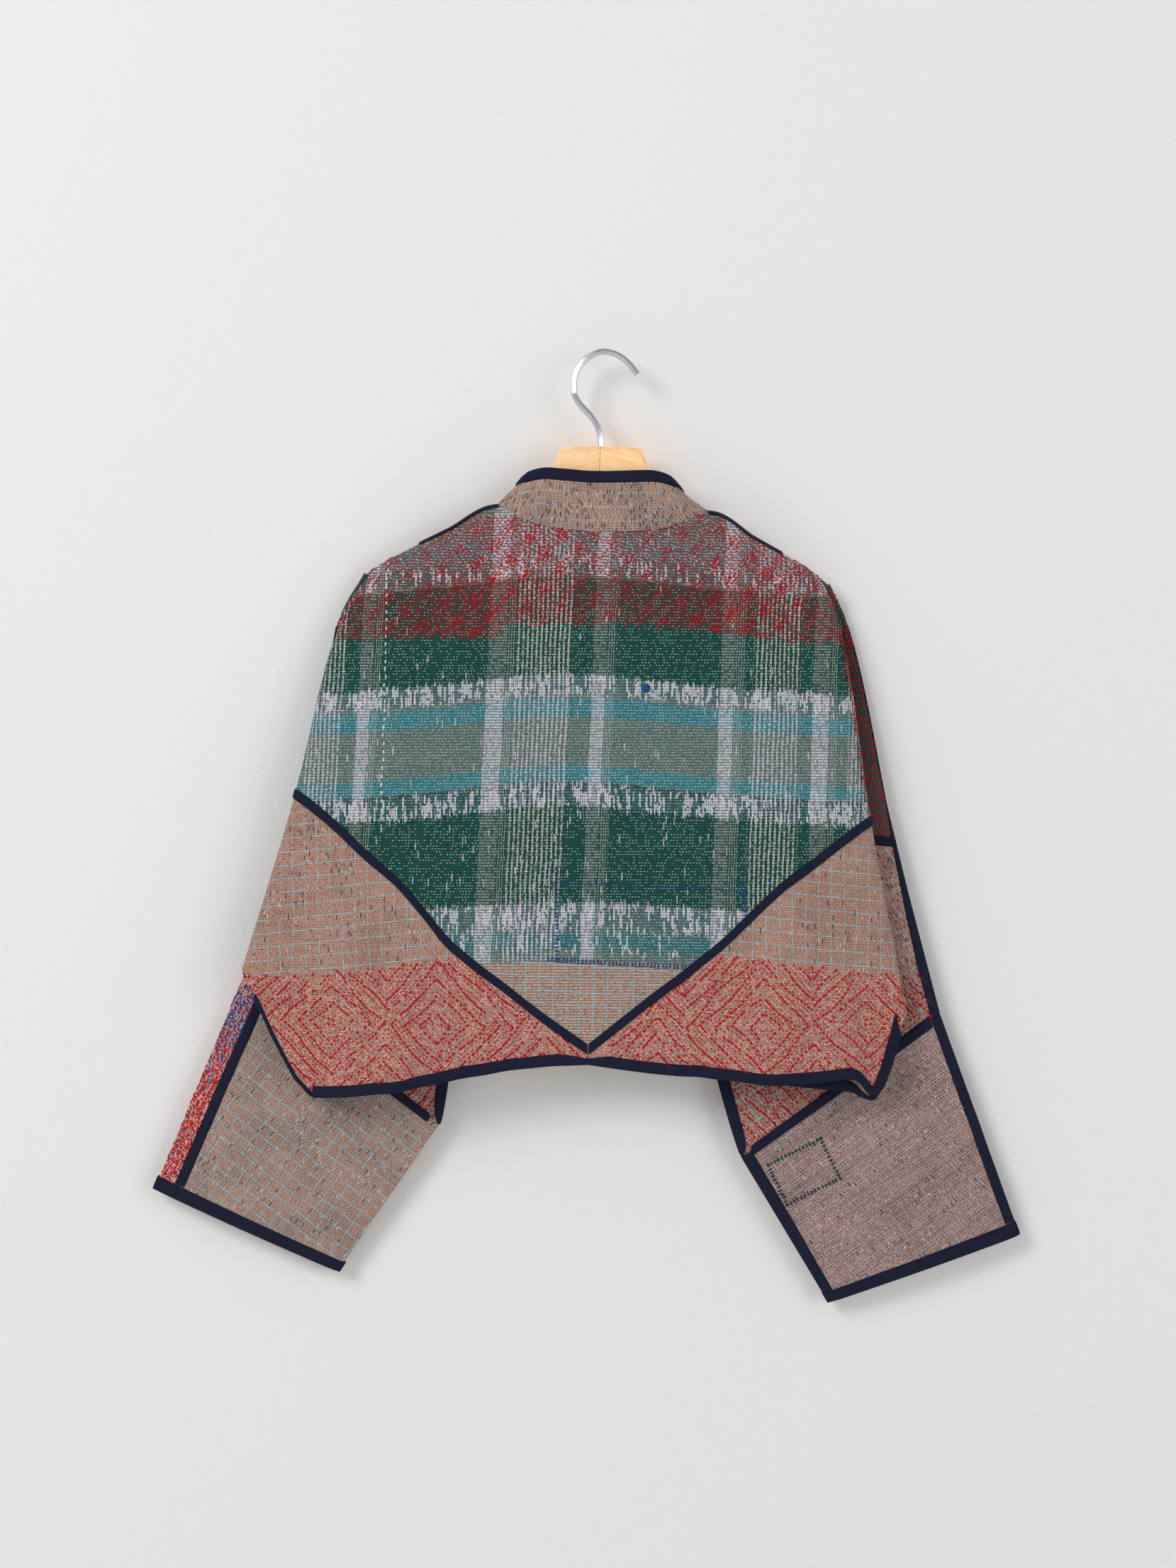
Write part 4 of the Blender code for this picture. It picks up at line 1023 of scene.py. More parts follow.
@dataclass
class Skin:
    """A thin closed shell on a grid of points, with cloth coordinates."""

    name: str
    grid: np.ndarray
    thick: float
    cloth: np.ndarray
    ring: bool = False

    def build(self) -> bpy.types.Object:
        """Sews the two faces and the rims together.

        Returns:
            The shell, in metres, smooth but for its rims.
        """
        rows, columns = self.grid.shape[:2]
        count = rows * columns
        wide = self.grid
        if self.ring:
            wide = np.concatenate([wide[:, -1:], wide, wide[:, :1]], axis=1)
        out = normals(wide)[:, 1:-1] if self.ring else normals(wide)
        half = out * self.thick / 2
        points = np.concatenate([(self.grid + half).reshape(-1, 3), (self.grid - half).reshape(-1, 3)])
        number = np.arange(count).reshape(rows, columns)
        ahead = np.roll(number, -1, axis=1) if self.ring else number[:, 1:]
        here = number if self.ring else number[:, :-1]
        outer = np.stack([here[:-1], here[1:], ahead[1:], ahead[:-1]], axis=2).reshape(-1, 4)
        inner = outer[:, ::-1] + count
        edges = [number[0], number[-1]]
        if not self.ring:
            edges += [number[:, 0], number[:, -1]]
        rims = []
        for k, edge in enumerate(edges):
            follow = np.roll(edge, -1) if self.ring else edge[1:]
            start = edge if self.ring else edge[:-1]
            rim = np.stack([start, follow, follow + count, start + count], axis=1)
            rims.append(rim[:, ::-1] if k in (1, 2) else rim)
        faces = np.concatenate([outer, inner, *rims])
        made = new_mesh(self.name, points * MM, faces)
        give_cloth(made.data, np.concatenate([self.cloth.reshape(-1, 2)] * 2))
        made.data.shade_smooth()
        made.data.set_sharp_from_angle(angle=SHARP_ANGLE)
        return made


def signed_volume(points: np.ndarray, faces: np.ndarray) -> float:
    """The volume that four-sided faces close in, negative when they face inwards."""
    a, b, c, d = (points[faces[:, k]] for k in range(4))
    first = np.einsum("ij,ij->i", a, np.cross(b, c))
    second = np.einsum("ij,ij->i", a, np.cross(c, d))
    return float((first + second).sum() / 6)


def new_mesh(name: str, points: np.ndarray, faces: np.ndarray) -> bpy.types.Object:
    """An object at the origin with these points, in metres, and faces."""
    mesh = bpy.data.meshes.new(name)
    mesh.from_pydata(points.tolist(), [], faces.tolist())
    mesh.update()
    made = bpy.data.objects.new(name, mesh)
    bpy.context.scene.collection.objects.link(made)
    return made


def give_cloth(mesh: bpy.types.Mesh, places: np.ndarray) -> None:
    """Gives each point its cloth coordinates."""
    layer = mesh.uv_layers.new(name="cloth")
    index = np.empty(len(mesh.loops), np.int32)
    mesh.loops.foreach_get("vertex_index", index)
    layer.data.foreach_set("uv", places[index].astype(np.float32).ravel())


def mirrored(right: np.ndarray, left: np.ndarray) -> np.ndarray:
    """One grid from the left-hand overarm to the right-hand one."""
    return np.concatenate([left[:, :0:-1], right], axis=1)


def at_depth(inner: np.ndarray, edge: np.ndarray, depth: float | np.ndarray) -> np.ndarray:
    """Points on the cloth between two of its lines, at a depth from the edge."""
    length = np.maximum(np.linalg.norm(inner - edge, axis=-1, keepdims=True), 1e-9)
    return edge + (inner - edge) * np.minimum(depth / length, 1)


def past_the_ends(rows: np.ndarray) -> np.ndarray:
    """The rows with their first and last point moved out past the cloth."""
    moved = rows.copy()
    moved[:, 0] += unit(rows[:, 0] - rows[:, 1]) * PAST_THE_ENDS
    moved[:, -1] += unit(rows[:, -1] - rows[:, -2]) * PAST_THE_ENDS
    return moved


def edge_frame(inner: np.ndarray, edge: np.ndarray, facing: int) -> tuple[np.ndarray, np.ndarray]:
    """The cloth's outward normal at its edge, and the way from the edge straight in along the cloth."""
    out = normals(np.stack([inner, edge]))[1] * facing
    inward = unit(np.cross(out, np.gradient(edge, axis=0)))
    inward *= np.sign(np.sum(inward * (inner - edge), axis=-1, keepdims=True))
    return out, inward


def over_edge(inner: np.ndarray, edge: np.ndarray, facing: int, lift: float | np.ndarray) -> list:
    """A strip's outer face from its sewn line to just past the cloth's edge, softly raised.

    Args:
        inner: Points on the sewn line.
        edge: Points on the cloth's edge.
        facing: The side of the cloth that the strip lies on, 1 or -1.
        lift: How far its middle stands off the cloth's middle surface.

    Returns:
        Rows of points across the strip.
    """
    out, inward = edge_frame(inner, edge, facing)
    rows = [edge + (inner - edge) * share + out * lift * rise for share, rise in STRIP_PROFILE]
    rows.append(edge + out * lift * STRIP_ROUND - inward * lift * STRIP_ROUND)
    return rows


def folded(inner: np.ndarray, edge: np.ndarray, facing: int, lift: float) -> np.ndarray:
    """A strip over one cloth's edge, with a narrow turn on the inside."""
    out, inward = edge_frame(inner, edge, facing)
    rows = over_edge(inner, edge, facing, lift)
    return np.stack(rows + [edge - inward * past - out * low for past, low in STRIP_TURN])


def joined(back: tuple, front: tuple, facing: int, lift: float | np.ndarray) -> np.ndarray:
    """A strip over two cloths' edges together."""
    rows = over_edge(*back, facing, lift)
    return np.stack(rows + over_edge(*front, -facing, lift)[::-1])


def strip_cloth(rows: np.ndarray) -> np.ndarray:
    """Cloth coordinates of a strip: along it and across it, in metres."""
    middle = rows[len(rows) // 2]
    along = np.concatenate([[0], np.cumsum(np.linalg.norm(np.diff(middle, axis=0), axis=1))])
    steps = np.linalg.norm(np.diff(rows, axis=0), axis=2)
    across = np.concatenate([np.zeros((1, rows.shape[1])), np.cumsum(steps, axis=0)])
    return np.stack([np.broadcast_to(along, across.shape), across], axis=2) * MM


def put(piece: bpy.types.Object, finish: Material, nodes: tuple[str, ...] = ()) -> None:
    """Gives a piece its finish and its place in the frame, and reports it.

    Args:
        piece: The finished piece.
        finish: Its material.
        nodes: The CAD nodes that it stands for.
    """
    piece.data.materials.clear()
    piece.data.materials.append(finish)
    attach(piece, BODY)
    if nodes:
        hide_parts(*nodes)
    LOG.info("%s: %d faces", piece.name, len(piece.data.polygons))


@dataclass
class Panels:
    """The quilted pieces: yoke, gussets, fronts, sleeve ends and collar."""

    tubes: dict[int, Tube]
    thick: float = CLOTH
    seam_gap: float = 0.3
    wear: float = 0.32
    cuff_rows: int = 52
    cuff_start: float = 0.5
    made: dict[str, bpy.types.Object] = field(default_factory=dict)
    collar_rows: int = 22
    collar_places: int = 109
    collar_lift: float = 7.0
    neck_gap: float = 0.7

    def hang(self, name: str, grid: np.ndarray, cloth: np.ndarray, finish: Material, slot: str) -> None:
        """Makes one quilted piece in its CAD node's place.

        Args:
            name: The CAD node.
            grid: Its middle surface.
            cloth: Its cloth coordinates.
            finish: Its material.
            slot: Not used.
        """
        noise = grain_noise(grid[:, :, 0], grid[:, :, 2], len(name)) * self.wear
        wavy = normals(grid) * noise[:, :, None]
        worn = grid.copy()
        worn[1:-1, 1:-1] += wavy[1:-1, 1:-1]
        piece = Skin(f"{name}_quilt", worn, self.thick, cloth).build()
        put(piece, finish, (name,))
        self.made[name] = piece

    def yoke(self, finish: Material) -> None:
        """The plaid back, from overarm to overarm."""
        grids = {side: tube.layer(tube.yoke_rows()) for side, tube in self.tubes.items()}
        cloths = {side: tube.cloth_map(grids[side], False) for side, tube in self.tubes.items()}
        both = (mirrored(part[1], part[-1]) for part in (grids, cloths))
        self.hang("back_yoke", *both, finish, "plaid_kantha")

    def gussets(self, finish: Material) -> None:
        """The lower back panels, with the backs of the upper sleeves."""
        for side, tube in self.tubes.items():
            grid = tube.layer(tube.lower_rows())
            grid[:, 0, 0] += side * self.seam_gap
            self.hang(f"gusset_back_{SIDES[side]}", grid, tube.cloth_map(grid, False), finish, "red_kantha")

    def fronts(self, finish: Material) -> None:
        """The plain fronts, with the fronts of the upper sleeves."""
        for side, tube in self.tubes.items():
            grid = tube.layer(tube.front_rows(), front=True)
            self.hang(f"front_{SIDES[side]}", grid, tube.cloth_map(grid, False), finish, "beige_kantha")

    def cuffs(self, backs: dict[int, Material], fronts: dict[int, Material]) -> None:
        """The sleeve ends; on the left each piece rolls round one edge to a seam on the other's side."""
        slots = {1: "mauve_kantha", -1: "taupe_kantha_left"}
        for side, tube in self.tubes.items():
            length = tube.cuff_length()
            shares = np.linspace(self.cuff_start / length, 1 - SEAM_HALF / length, self.cuff_rows)
            back = tube.cuff_grid(shares, False)
            front = tube.cuff_grid(shares, True)
            if side < 0:
                inset = tube.column("overarm_in") - tube.column("joint")
                seam = back[:, inset : inset + 1]
                gap = unit(back[:, -1:] - seam) * SEAM_HALF
                under = tube.column("joint_in") - tube.column("joint")
                hidden = front[:, under : under + 1]
                space = unit(front[:, :1] - hidden) * 0.5
                rolled = [front[:, under + 1 :], back[:, :inset:-1], seam + gap]
                turned = [hidden + space, front[:, under - 1 :: -1], back[:, :inset], seam - gap]
                back = np.concatenate(turned, axis=1)
                front = np.concatenate([hidden - space, *rolled], axis=1)
            word = SIDES[side]
            self.hang(f"cuff_back_{word}", back, tube.cloth_map(back, True), backs[side], slots[side])
            self.hang(f"cuff_front_{word}", front, tube.cloth_map(front, True), fronts[side], "beige_kantha")

    def collar_grid(self) -> np.ndarray:
        """The stand collar's middle surface, from its upper edge down.

        Returns:
            A grid from the left centre front round to the right one.
        """
        numbers = np.arange(len(COLLAR))
        places = np.linspace(0, len(COLLAR) - 1, self.collar_places)
        shares = np.interp(places, numbers, [row.share for row in COLLAR])
        upper = np.array([row.upper for row in COLLAR])
        halves = {}
        for side, tube in self.tubes.items():
            top = np.stack([smooth(numbers, upper[:, k], places) for k in range(3)], axis=1) * (side, 1, 1)
            if side < 0:
                top[:, 2] += self.collar_lift * np.clip(places / 3, 0, 1)
            line = tube.neck_line()
            length = np.concatenate([[0], np.cumsum(np.linalg.norm(np.diff(line, axis=0), axis=1))])
            foot = np.stack([np.interp(shares * length[-1], length, line[:, k]) for k in range(3)], axis=1)
            foot += unit(top - foot) * self.neck_gap
            ways = np.linspace(0, 1, self.collar_rows)
            halves[side] = np.stack([top + (foot - top) * share for share in ways])
        return np.concatenate([halves[-1][:, :0:-1], halves[1]], axis=1)

    def collar(self, finish: Material) -> None:
        """The stand collar."""
        grid = self.collar_grid()
        self.hang("collar", grid, strip_cloth(grid), finish, "striped_kantha")


@dataclass
class Bindings:
    """The navy bias strips over every seam and edge."""

    tubes: dict[int, Tube]
    finish: Material
    thick: float = 1.2
    lift: float = 2.1
    slant_lift: float = 0.4
    edge_half: float = 0.2
    centre_half: float = 0.8
    side_turn_left: float = 1.6
    hem_turn_clear: float = 3.5
    overarm_shown: float = 0.22
    overarm_widens: float = 150.0
    seam_shares: tuple[float, ...] = (1.0, 0.94, 0.7, 0.4, 0.15)
    joint_shares: tuple[float, ...] = (1.0, 0.94, 0.7, 0.35)
    shoulder_strip: tuple[float, ...] = (2.6, 2.1, 1.6, 1.0, 0.5, 0.2)
    shoulder_reach: float = 2.4
    overarm_rows: int = 66
    cuff_rows: int = 44
    cuff_clear: float = 0.9

    def sew(self, name: str, rows: np.ndarray, ring: bool = False) -> None:
        """Makes one strip in its CAD node's place."""
        piece = Skin(f"{name}_strip", rows, self.thick, strip_cloth(rows), ring).build()
        put(piece, self.finish, (name,))

    def flat(self, name: str, rows: np.ndarray, facing: int) -> None:
        """A strip that lies over a seam, raised along its middle."""
        shares = np.linspace(-1, 1, len(rows))
        rise = self.lift * (1.02 - 0.6 * abs(shares) ** 5)
        self.sew(name, rows + normals(rows) * facing * rise[:, None, None])

    def seams(self) -> None:
        """The strips on the diagonal seam: round the body to the valley, and round the arm."""
        half = BAND / 2
        for side, tube in self.tubes.items():
            covered = np.minimum(half, tube.covered(half))
            above = [tube.knots[2] - half * s for s in self.seam_shares]
            below = [tube.knots[2] + covered * s for s in self.seam_shares[::-1]]
            seam = tube.layer(np.vstack(above + below))
            seam[:, 0, 0] += side * self.centre_half
            word = SIDES[side]
            self.flat(f"binding_diagonal_{word}", seam[:, : tube.column("valley_in") + 1], side)
            last = tube.column("overarm_in")
            reach = BAND * (self.overarm_shown if side > 0 else 1.0) + 1.0
            inset = float(np.linalg.norm(seam[5, last] - seam[5, -1]))
            depths = np.linspace(inset, reach, 4)[1:]
            ends = [at_depth(seam[:, last], seam[:, -1], depth)[:, None] for depth in depths]
            arm = np.concatenate([seam[:, tube.column("valley_out") : last + 1], *ends], axis=1)
            self.flat(f"binding_arm_{word}", arm, side)

    def shoulders(self) -> None:
        """The narrow strips along the shoulder seams, over their rounded tops."""
        for side, tube in self.tubes.items():
            first = tube.column("neck_point")
            last = tube.column("side")
            x, y, z, seam = tube.levels[0, first : last + 1].T.copy()
            x[0] -= side * self.shoulder_reach
            z[0] -= self.shoulder_reach * (z[2] - z[1]) / abs(x[2] - x[1])
            below = tube.levels[1, first : last + 1, 3]
            lift = (self.lift + self.slant_lift) * np.hypot(1, np.gradient(z) / np.gradient(x))
            rows = []
            ways = [(down, -1) for down in self.shoulder_strip]
            ways += [(0, 0)] + [(down, 1) for down in self.shoulder_strip[::-1]]
            for down, way in ways:
                up = 1 - down / SHOULDER_ROUND
                out = np.sqrt(1 - up**2)
                half = (seam + (below - seam) * out) / 2 * abs(way)
                rows.append(np.stack([x, y + way * (half + out * lift), z - down + up * lift], axis=1))
            self.sew(f"binding_shoulder_{SIDES[side]}", np.stack(rows))

    def hems(self) -> None:
        """The strips on the hems of the back and the fronts, and on the side and underarm seams."""
        backs = {}
        for side, tube in self.tubes.items():
            word = SIDES[side]
            corner = tube.column("corner") + 1
            rows = np.vstack([tube.knots[3] - tube.covered(BAND), tube.knots[3] - self.edge_half])
            front = tube.layer(rows, front=True)[:, :corner]
            if side > 0:
                low = tube.front_drop(tube.knots[3])[:corner] - self.hem_turn_clear
                turned = at_depth(front[0], front[1], np.clip(low, 1.5, BAND)[:, None])
                strip = joined((front[0], front[1]), (turned, front[1]), -side, self.lift)
            else:
                strip = folded(front[0], front[1], -side, self.lift)
            self.sew(f"binding_hem_front_{word}", strip)
            back = tube.layer(rows)[:, :corner]
            backs[side] = back
            slanted = self.slanted(tube)
            near, far = tube.layer(slanted), tube.layer(slanted, front=True)
            spans = (
                ("side", corner - 1, tube.column("fold_in")),
                ("underarm", tube.column("valley_out"), tube.column("joint") + 1),
            )
            for name, start, end in spans:
                inner, edge = near[:, start:end]
                if name == "side" and side < 0:
                    inner = at_depth(inner, edge, self.side_turn_left)
                pair = (inner, edge), (far[0, start:end], far[1, start:end])
                self.sew(f"binding_{name}_{word}", joined(*pair, side, self.lift + self.slant_lift))
        both = mirrored(backs[1], backs[-1])
        self.sew("binding_hem_back", folded(both[0], both[1], 1, self.lift))

    def slanted(self, tube: Tube) -> np.ndarray:
        """Distances to a strip's two lines where the edge crosses its columns at a slant."""
        edge = tube.levels[3][:, [0, 2]]
        column = edge - tube.levels[2][:, [0, 2]]
        tangent = np.gradient(edge, axis=0)
        crossed = abs(column[:, 0] * tangent[:, 1] - column[:, 1] * tangent[:, 0])
        slant = crossed / np.maximum(np.hypot(*column.T) * np.hypot(*tangent.T), 1e-9)
        return np.vstack([tube.knots[3] - BAND / np.clip(slant, 0.4, 1), tube.knots[3] - self.edge_half])

    def overarms(self) -> None:
        """The strip over the overarm seam, mostly on the far side above the diagonal seam."""
        for side, tube in self.tubes.items():
            top = np.full(len(tube.places), SHOULDER_ROUND)
            rows = spread(top, tube.knots[3] - 2 * SEAM_HALF, self.overarm_rows)
            back = tube.layer(rows)
            front = tube.layer(rows, front=True)
            shown = np.ones(len(rows))
            if side > 0:
                below = rows[:, -1] - tube.knots[2, -1]
                shown = np.clip(self.overarm_shown + below / self.overarm_widens, 0.05, 1)
            inset = tube.column("overarm_in")
            inner = at_depth(back[:, inset], back[:, -1], BAND * shown[:, None])
            beyond = at_depth(front[:, inset], front[:, -1], BAND)
            lift = self.lift * np.clip(rows[:, -1:] / 60, 0.35, 1)
            if side > 0:
                lift = lift * np.clip(1 + below[:, None] / 60, 0.4, 1)
            strip = joined((inner, back[:, -1]), (beyond, front[:, -1]), -side, lift)
            self.sew(f"binding_overarm_{SIDES[side]}", strip)

    def sleeve_ends(self) -> None:
        """The strips on the sleeve ends: long seams, joint seams and the open cuffs."""
        for side, tube in self.tubes.items():
            word = SIDES[side]
            length = tube.cuff_length()
            start = 0.5 if side > 0 else BAND / 2 + 0.4
            shares = np.linspace(start / length, 1 - (BAND + self.cuff_clear) / length, self.cuff_rows)
            back, front = (tube.cuff_grid(shares, face) for face in (False, True))
            joint = tube.column("joint")
            under = tube.column("joint_in") - joint
            over = tube.column("overarm_in") - joint
            if side > 0:
                for name, inset, end, facing in (("underarm", under, 0, 1), ("overarm", over, -1, -1)):
                    pairs = []
                    for face in (back, front):
                        pairs.append((at_depth(face[:, inset], face[:, end], BAND), face[:, end]))
                    self.sew(f"binding_cuff_{name}_{word}", joined(*pairs, facing, self.lift))
            else:
                self.beside(f"binding_cuff_overarm_{word}", back, over, -1)
                self.beside(f"binding_cuff_underarm_{word}", front, under, 0)
            self.joint(tube, word, length, joint + under, joint + over + 1)
            ends = [1 - BAND / length, 1 - self.edge_half / length]
            near, far = (past_the_ends(tube.cuff_grid(ends, face)) for face in (False, True))
            outer = folded(near[0], near[1], side, self.lift)
            inside = folded(far[0], far[1], -side, self.lift)
            self.sew(f"binding_cuff_{word}", np.concatenate([outer, inside[:, ::-1]], axis=1), ring=True)

    def beside(self, name: str, face: np.ndarray, seam: int, end: int) -> None:
        """The strip over a rolled sleeve's long seam, which lies in from the fold.

        Args:
            name: The strip's CAD node.
            face: The sleeve end's layer.
            seam: The seam's column.
            end: The fold's column, the first or the last.
        """
        step = 8 if end == 0 else -8
        half = BAND / 2
        line = face[:, seam]
        rows = [at_depth(face[:, seam + step], line, half * s) for s in self.joint_shares]
        rows += [line] + [at_depth(face[:, end], line, half * s) for s in self.joint_shares[::-1]]
        self.flat(name, np.stack(rows), 1)

    def joint(self, tube: Tube, word: str, length: float, first: int, last: int) -> None:
        """The strips over one sleeve's joint seam, on each of its faces.

        Args:
            tube: The sleeve's side.
            word: That side's name.
            length: The sleeve end's length.
            first: The first column that is covered.
            last: One past the last column.
        """
        half = BAND / 2
        start = tube.column("joint")
        for face in ("back", "front"):
            front = face == "front"
            shares = (*self.joint_shares, 0.0)
            above = tube.layer(np.vstack([tube.knots[3] - half * s for s in shares]), front)
            below = tube.cuff_grid([half * s / length for s in self.joint_shares[::-1]], front)
            rows = np.concatenate([above[:, first:last], below[:, first - start : last - start]])
            if tube.sign < 0:
                outer = np.concatenate([above[:, -1], below[:, -1]])
                depths = np.linspace(OVERARM_INSET[tube.sign], BAND + 0.5, 5)[1:]
                ends = [at_depth(rows[:, -1], outer, depth)[:, None] for depth in depths]
                rows = np.concatenate([rows, *ends], axis=1)
            self.flat(f"binding_joint_{face}_{word}", rows, -tube.sign if front else tube.sign)

    def centre_fronts(self) -> None:
        """The strip over each centre-front edge, from the neck to the hem."""
        for side, tube in self.tubes.items():
            points = tube.layer(tube.front_rows(), front=True)[:-2]
            inner = at_depth(points[:, 7], points[:, 0], BAND)
            self.sew(f"binding_centre_front_{SIDES[side]}", folded(inner, points[:, 0], -side, self.lift))

    def collar(self, grid: np.ndarray) -> None:
        """The strip over the collar's upper edge."""
        inner = at_depth(grid[6], grid[0], BAND)
        self.sew("binding_collar", folded(inner, grid[0], -1, self.lift + 0.4))


@dataclass
class Seamstress:
    """Places hand stitches on the quilts by looking at them from one side."""

    trees: dict[str, BVHTree]
    random: np.random.Generator
    held: dict[str, list] = field(default_factory=dict)
    hump: tuple = (
        (0, 1, 2, 2), (0, 2, 3, 3), (0, 3, 1, 1), (1, 4, 5, 2), (2, 5, 6, 3), (3, 6, 4, 1), (7, 5, 4, 4),
        (7, 6, 5, 5), (7, 4, 6, 6),
    )

    def stitch(self, thread: str, cloth: str, place: tuple, way: tuple, length: float, width: float) -> None:
        """Adds one stitch where a line of sight meets a cloth.

        Args:
            thread: The thread's name.
            cloth: The panel it is sewn on.
            place: Its (x, z), in millimetres.
            way: Its direction in (x, z).
            length: Its length.
            width: The thread's width.
        """
        start = Vector((place[0] * MM, -1.0, place[1] * MM))
        spot, normal, _, _ = self.trees[cloth].ray_cast(start, Vector((0, 1, 0)))
        if spot is None or normal.y > -0.2:
            return
        along = Vector((way[0], 0, way[1]))
        along -= normal * along.dot(normal)
        if along.length < 1e-4:
            return
        along.normalize()
        self.held.setdefault(thread, []).append((*(spot * 1000), *along, *normal, length, width))

    def sew(self, thread: str, finish: Material, slot: str) -> None:
        """Joins one thread's stitches into a piece: short humps that dip into the cloth at their ends."""
        rows = np.array(self.held.get(thread, []))
        if not len(rows):
            return
        spot, along, out = rows[:, 0:3], rows[:, 3:6], rows[:, 6:9]
        length, width = rows[:, 9:10], rows[:, 10:11]
        side = np.cross(along, out)
        rise = width * 0.62
        ring = []
        for share in (-0.27, 0.27):
            for across, up in ((-0.5, -0.2), (0.0, 1.0), (0.5, -0.2)):
                ring.append(spot + along * length * share + side * width * across + out * rise * up)
        ends = [spot + along * length * s - out * 0.25 for s in (-0.52, 0.52)]
        points = np.stack([ends[0], *ring, ends[1]], axis=1)
        faces = (np.array(self.hump)[None] + (np.arange(len(rows)) * 8)[:, None, None]).reshape(-1, 4)
        points = points.reshape(-1, 3)
        if signed_volume(points, faces) < 0:
            faces = faces[:, ::-1]
        mesh = bpy.data.meshes.new(thread)
        tidy = [tuple(dict.fromkeys(face)) for face in faces.tolist()]
        mesh.from_pydata((points * MM).tolist(), [], tidy)
        mesh.shade_smooth()
        piece = bpy.data.objects.new(thread, mesh)
        bpy.context.scene.collection.objects.link(piece)
        put(piece, finish)


@dataclass
class HandStitches:
    """Every hand stitch that shows on the jacket's back, in millimetres."""

    worker: Seamstress
    yoke_rows: int = 54
    yoke_half: int = 56
    first_row: float = -136.0
    row_pitch: float = 2.7
    stitch_pitch: float = 4.6
    wave: float = 38.0
    wave_height: float = 12.0
    pale_above: float = -206.0
    left_of: float = -90.0
    left_limit: float = -264.0
    limit: float = -251.5
    limit_falls_from: float = 40.0
    limit_slope: float = 0.11
    outer_rows: int = 42
    outer_count: int = 17
    outer_start: tuple = (218.0, -256.0)
    outer_pitch: tuple = (3.7, 4.6)
    outer_shift: float = 1.8
    fold_start: tuple = (222.0, -258.0)
    fold_slope: float = 0.147
    rings: int = 44
    ring_pitch: float = 3.4
    ring_step: float = 4.2
    ring_wobble: float = 1.7
    middles: tuple = ((150.0, -622.0), (246.0, -618.0), (52.0, -668.0), (198.0, -682.0))
    square_corners: tuple = ((157, -755), (206, -730), (224, -767), (175, -792))
    roll_rows: int = 56
    roll_count: int = 8
    roll_start: tuple = (-331.0, -582.0)
    roll_run: tuple = (84, 196)

    def yoke_waves(self) -> None:
        """Red running stitches in leaning waves over the shoulders, with pale ones between near the top."""
        random = self.worker.random
        pale = ["pale_thread_yoke", "white_thread_yoke", "pale_thread_yoke", "sky_thread_yoke"]
        for row in range(self.yoke_rows):
            level = self.first_row - row * self.row_pitch
            shift = (row % 2) * self.stitch_pitch / 2
            for step in range(-self.yoke_half, self.yoke_half):
                x = step * self.stitch_pitch + random.uniform(-1.1, 1.1) + shift
                phase = (x + 30) / self.wave + row * 0.06
                z = level + self.wave_height * math.sin(phase) - abs(x) * 0.05 + random.uniform(-0.5, 0.5)
                if z < self.red_limit(x) + random.uniform(-3, 4):
                    continue
                bold = math.sin((x - z * 0.9) / 4.4) + 0.7 * math.sin((x + z * 1.1) / 5.9 + 1.0)
                lean = 0.32 * math.cos(phase) + random.uniform(-0.35, 0.35)
                if bold > 1.0:
                    lean = 0.9
                if random.random() < 0.93 + 0.1 * bold:
                    size = random.uniform(3.0, 4.0) + max(bold, 0) * 0.5
                    width = 1.35 + max(bold, 0) * 0.5
                    self.worker.stitch("red_thread_yoke", "yoke", (x, z), (1.0, lean), size, width)
                if z > self.pale_above and random.random() < 0.5:
                    name = random.choice(pale)
                    place = (x + random.uniform(1.6, 2.8), z + random.uniform(0.8, 1.8))
                    self.worker.stitch(name, "yoke", place, (1.0, lean), random.uniform(1.8, 3.0), 0.95)

    def red_limit(self, x: float) -> float:
        """How far down the red stitches of the shoulders reach."""
        if x < self.left_of:
            return self.left_limit
        return self.limit - max(x - self.limit_falls_from, 0) * self.limit_slope

    def outer_strip(self) -> None:
        """Red stitches on the strip of the right upper sleeve that shows past the fold."""
        random = self.worker.random
        first_x, first_z = self.outer_start
        across, down = self.outer_pitch
        for row in range(self.outer_rows):
            z = first_z - row * down + random.uniform(-0.6, 0.6)
            fold = self.fold_start[0] + (self.fold_start[1] - z) * self.fold_slope
            for step in range(self.outer_count):
                x = first_x + step * across + (row % 2) * self.outer_shift + random.uniform(-0.7, 0.7)
                if x < fold + 1.5:
                    continue
                length = random.uniform(3.6, 4.8)
                self.worker.stitch("red_thread_yoke", "yoke", (x, z), (1.0, -0.9), length, 2.1)

    def diamonds(self) -> Iterator[tuple[int, int, int, float, float]]:
        """Places on nested diamonds round each middle, as far as the next one's.

        Yields:
            The middle's number, the ring, which of the diamond's four sides it is, x and z.
        """
        for at, (cx, cz) in enumerate(self.middles):
            for ring in range(1, self.rings):
                reach = ring * self.ring_pitch * math.sqrt(2)
                count = max(int(reach * math.sqrt(2) / self.ring_step), 1)
                for k in range(count * 4):
                    quarter = k // count
                    t = (k % count + 0.5 * (ring % 2)) / count
                    dx, dz = reach * (1 - t), reach * t
                    for _ in range(quarter):
                        dx, dz = -dz, dx
                    x = cx + dx + self.ring_wobble * math.sin(dz / 9.0 + ring * 0.5 + at)
                    z = cz + dz + self.ring_wobble * math.sin(dx / 8.0 - ring * 0.4)
                    away = [abs(x - mx) + abs(z - mz) for mx, mz in self.middles]
                    if away.index(min(away)) == at and x >= 8:
                        yield at, ring, quarter, x, z

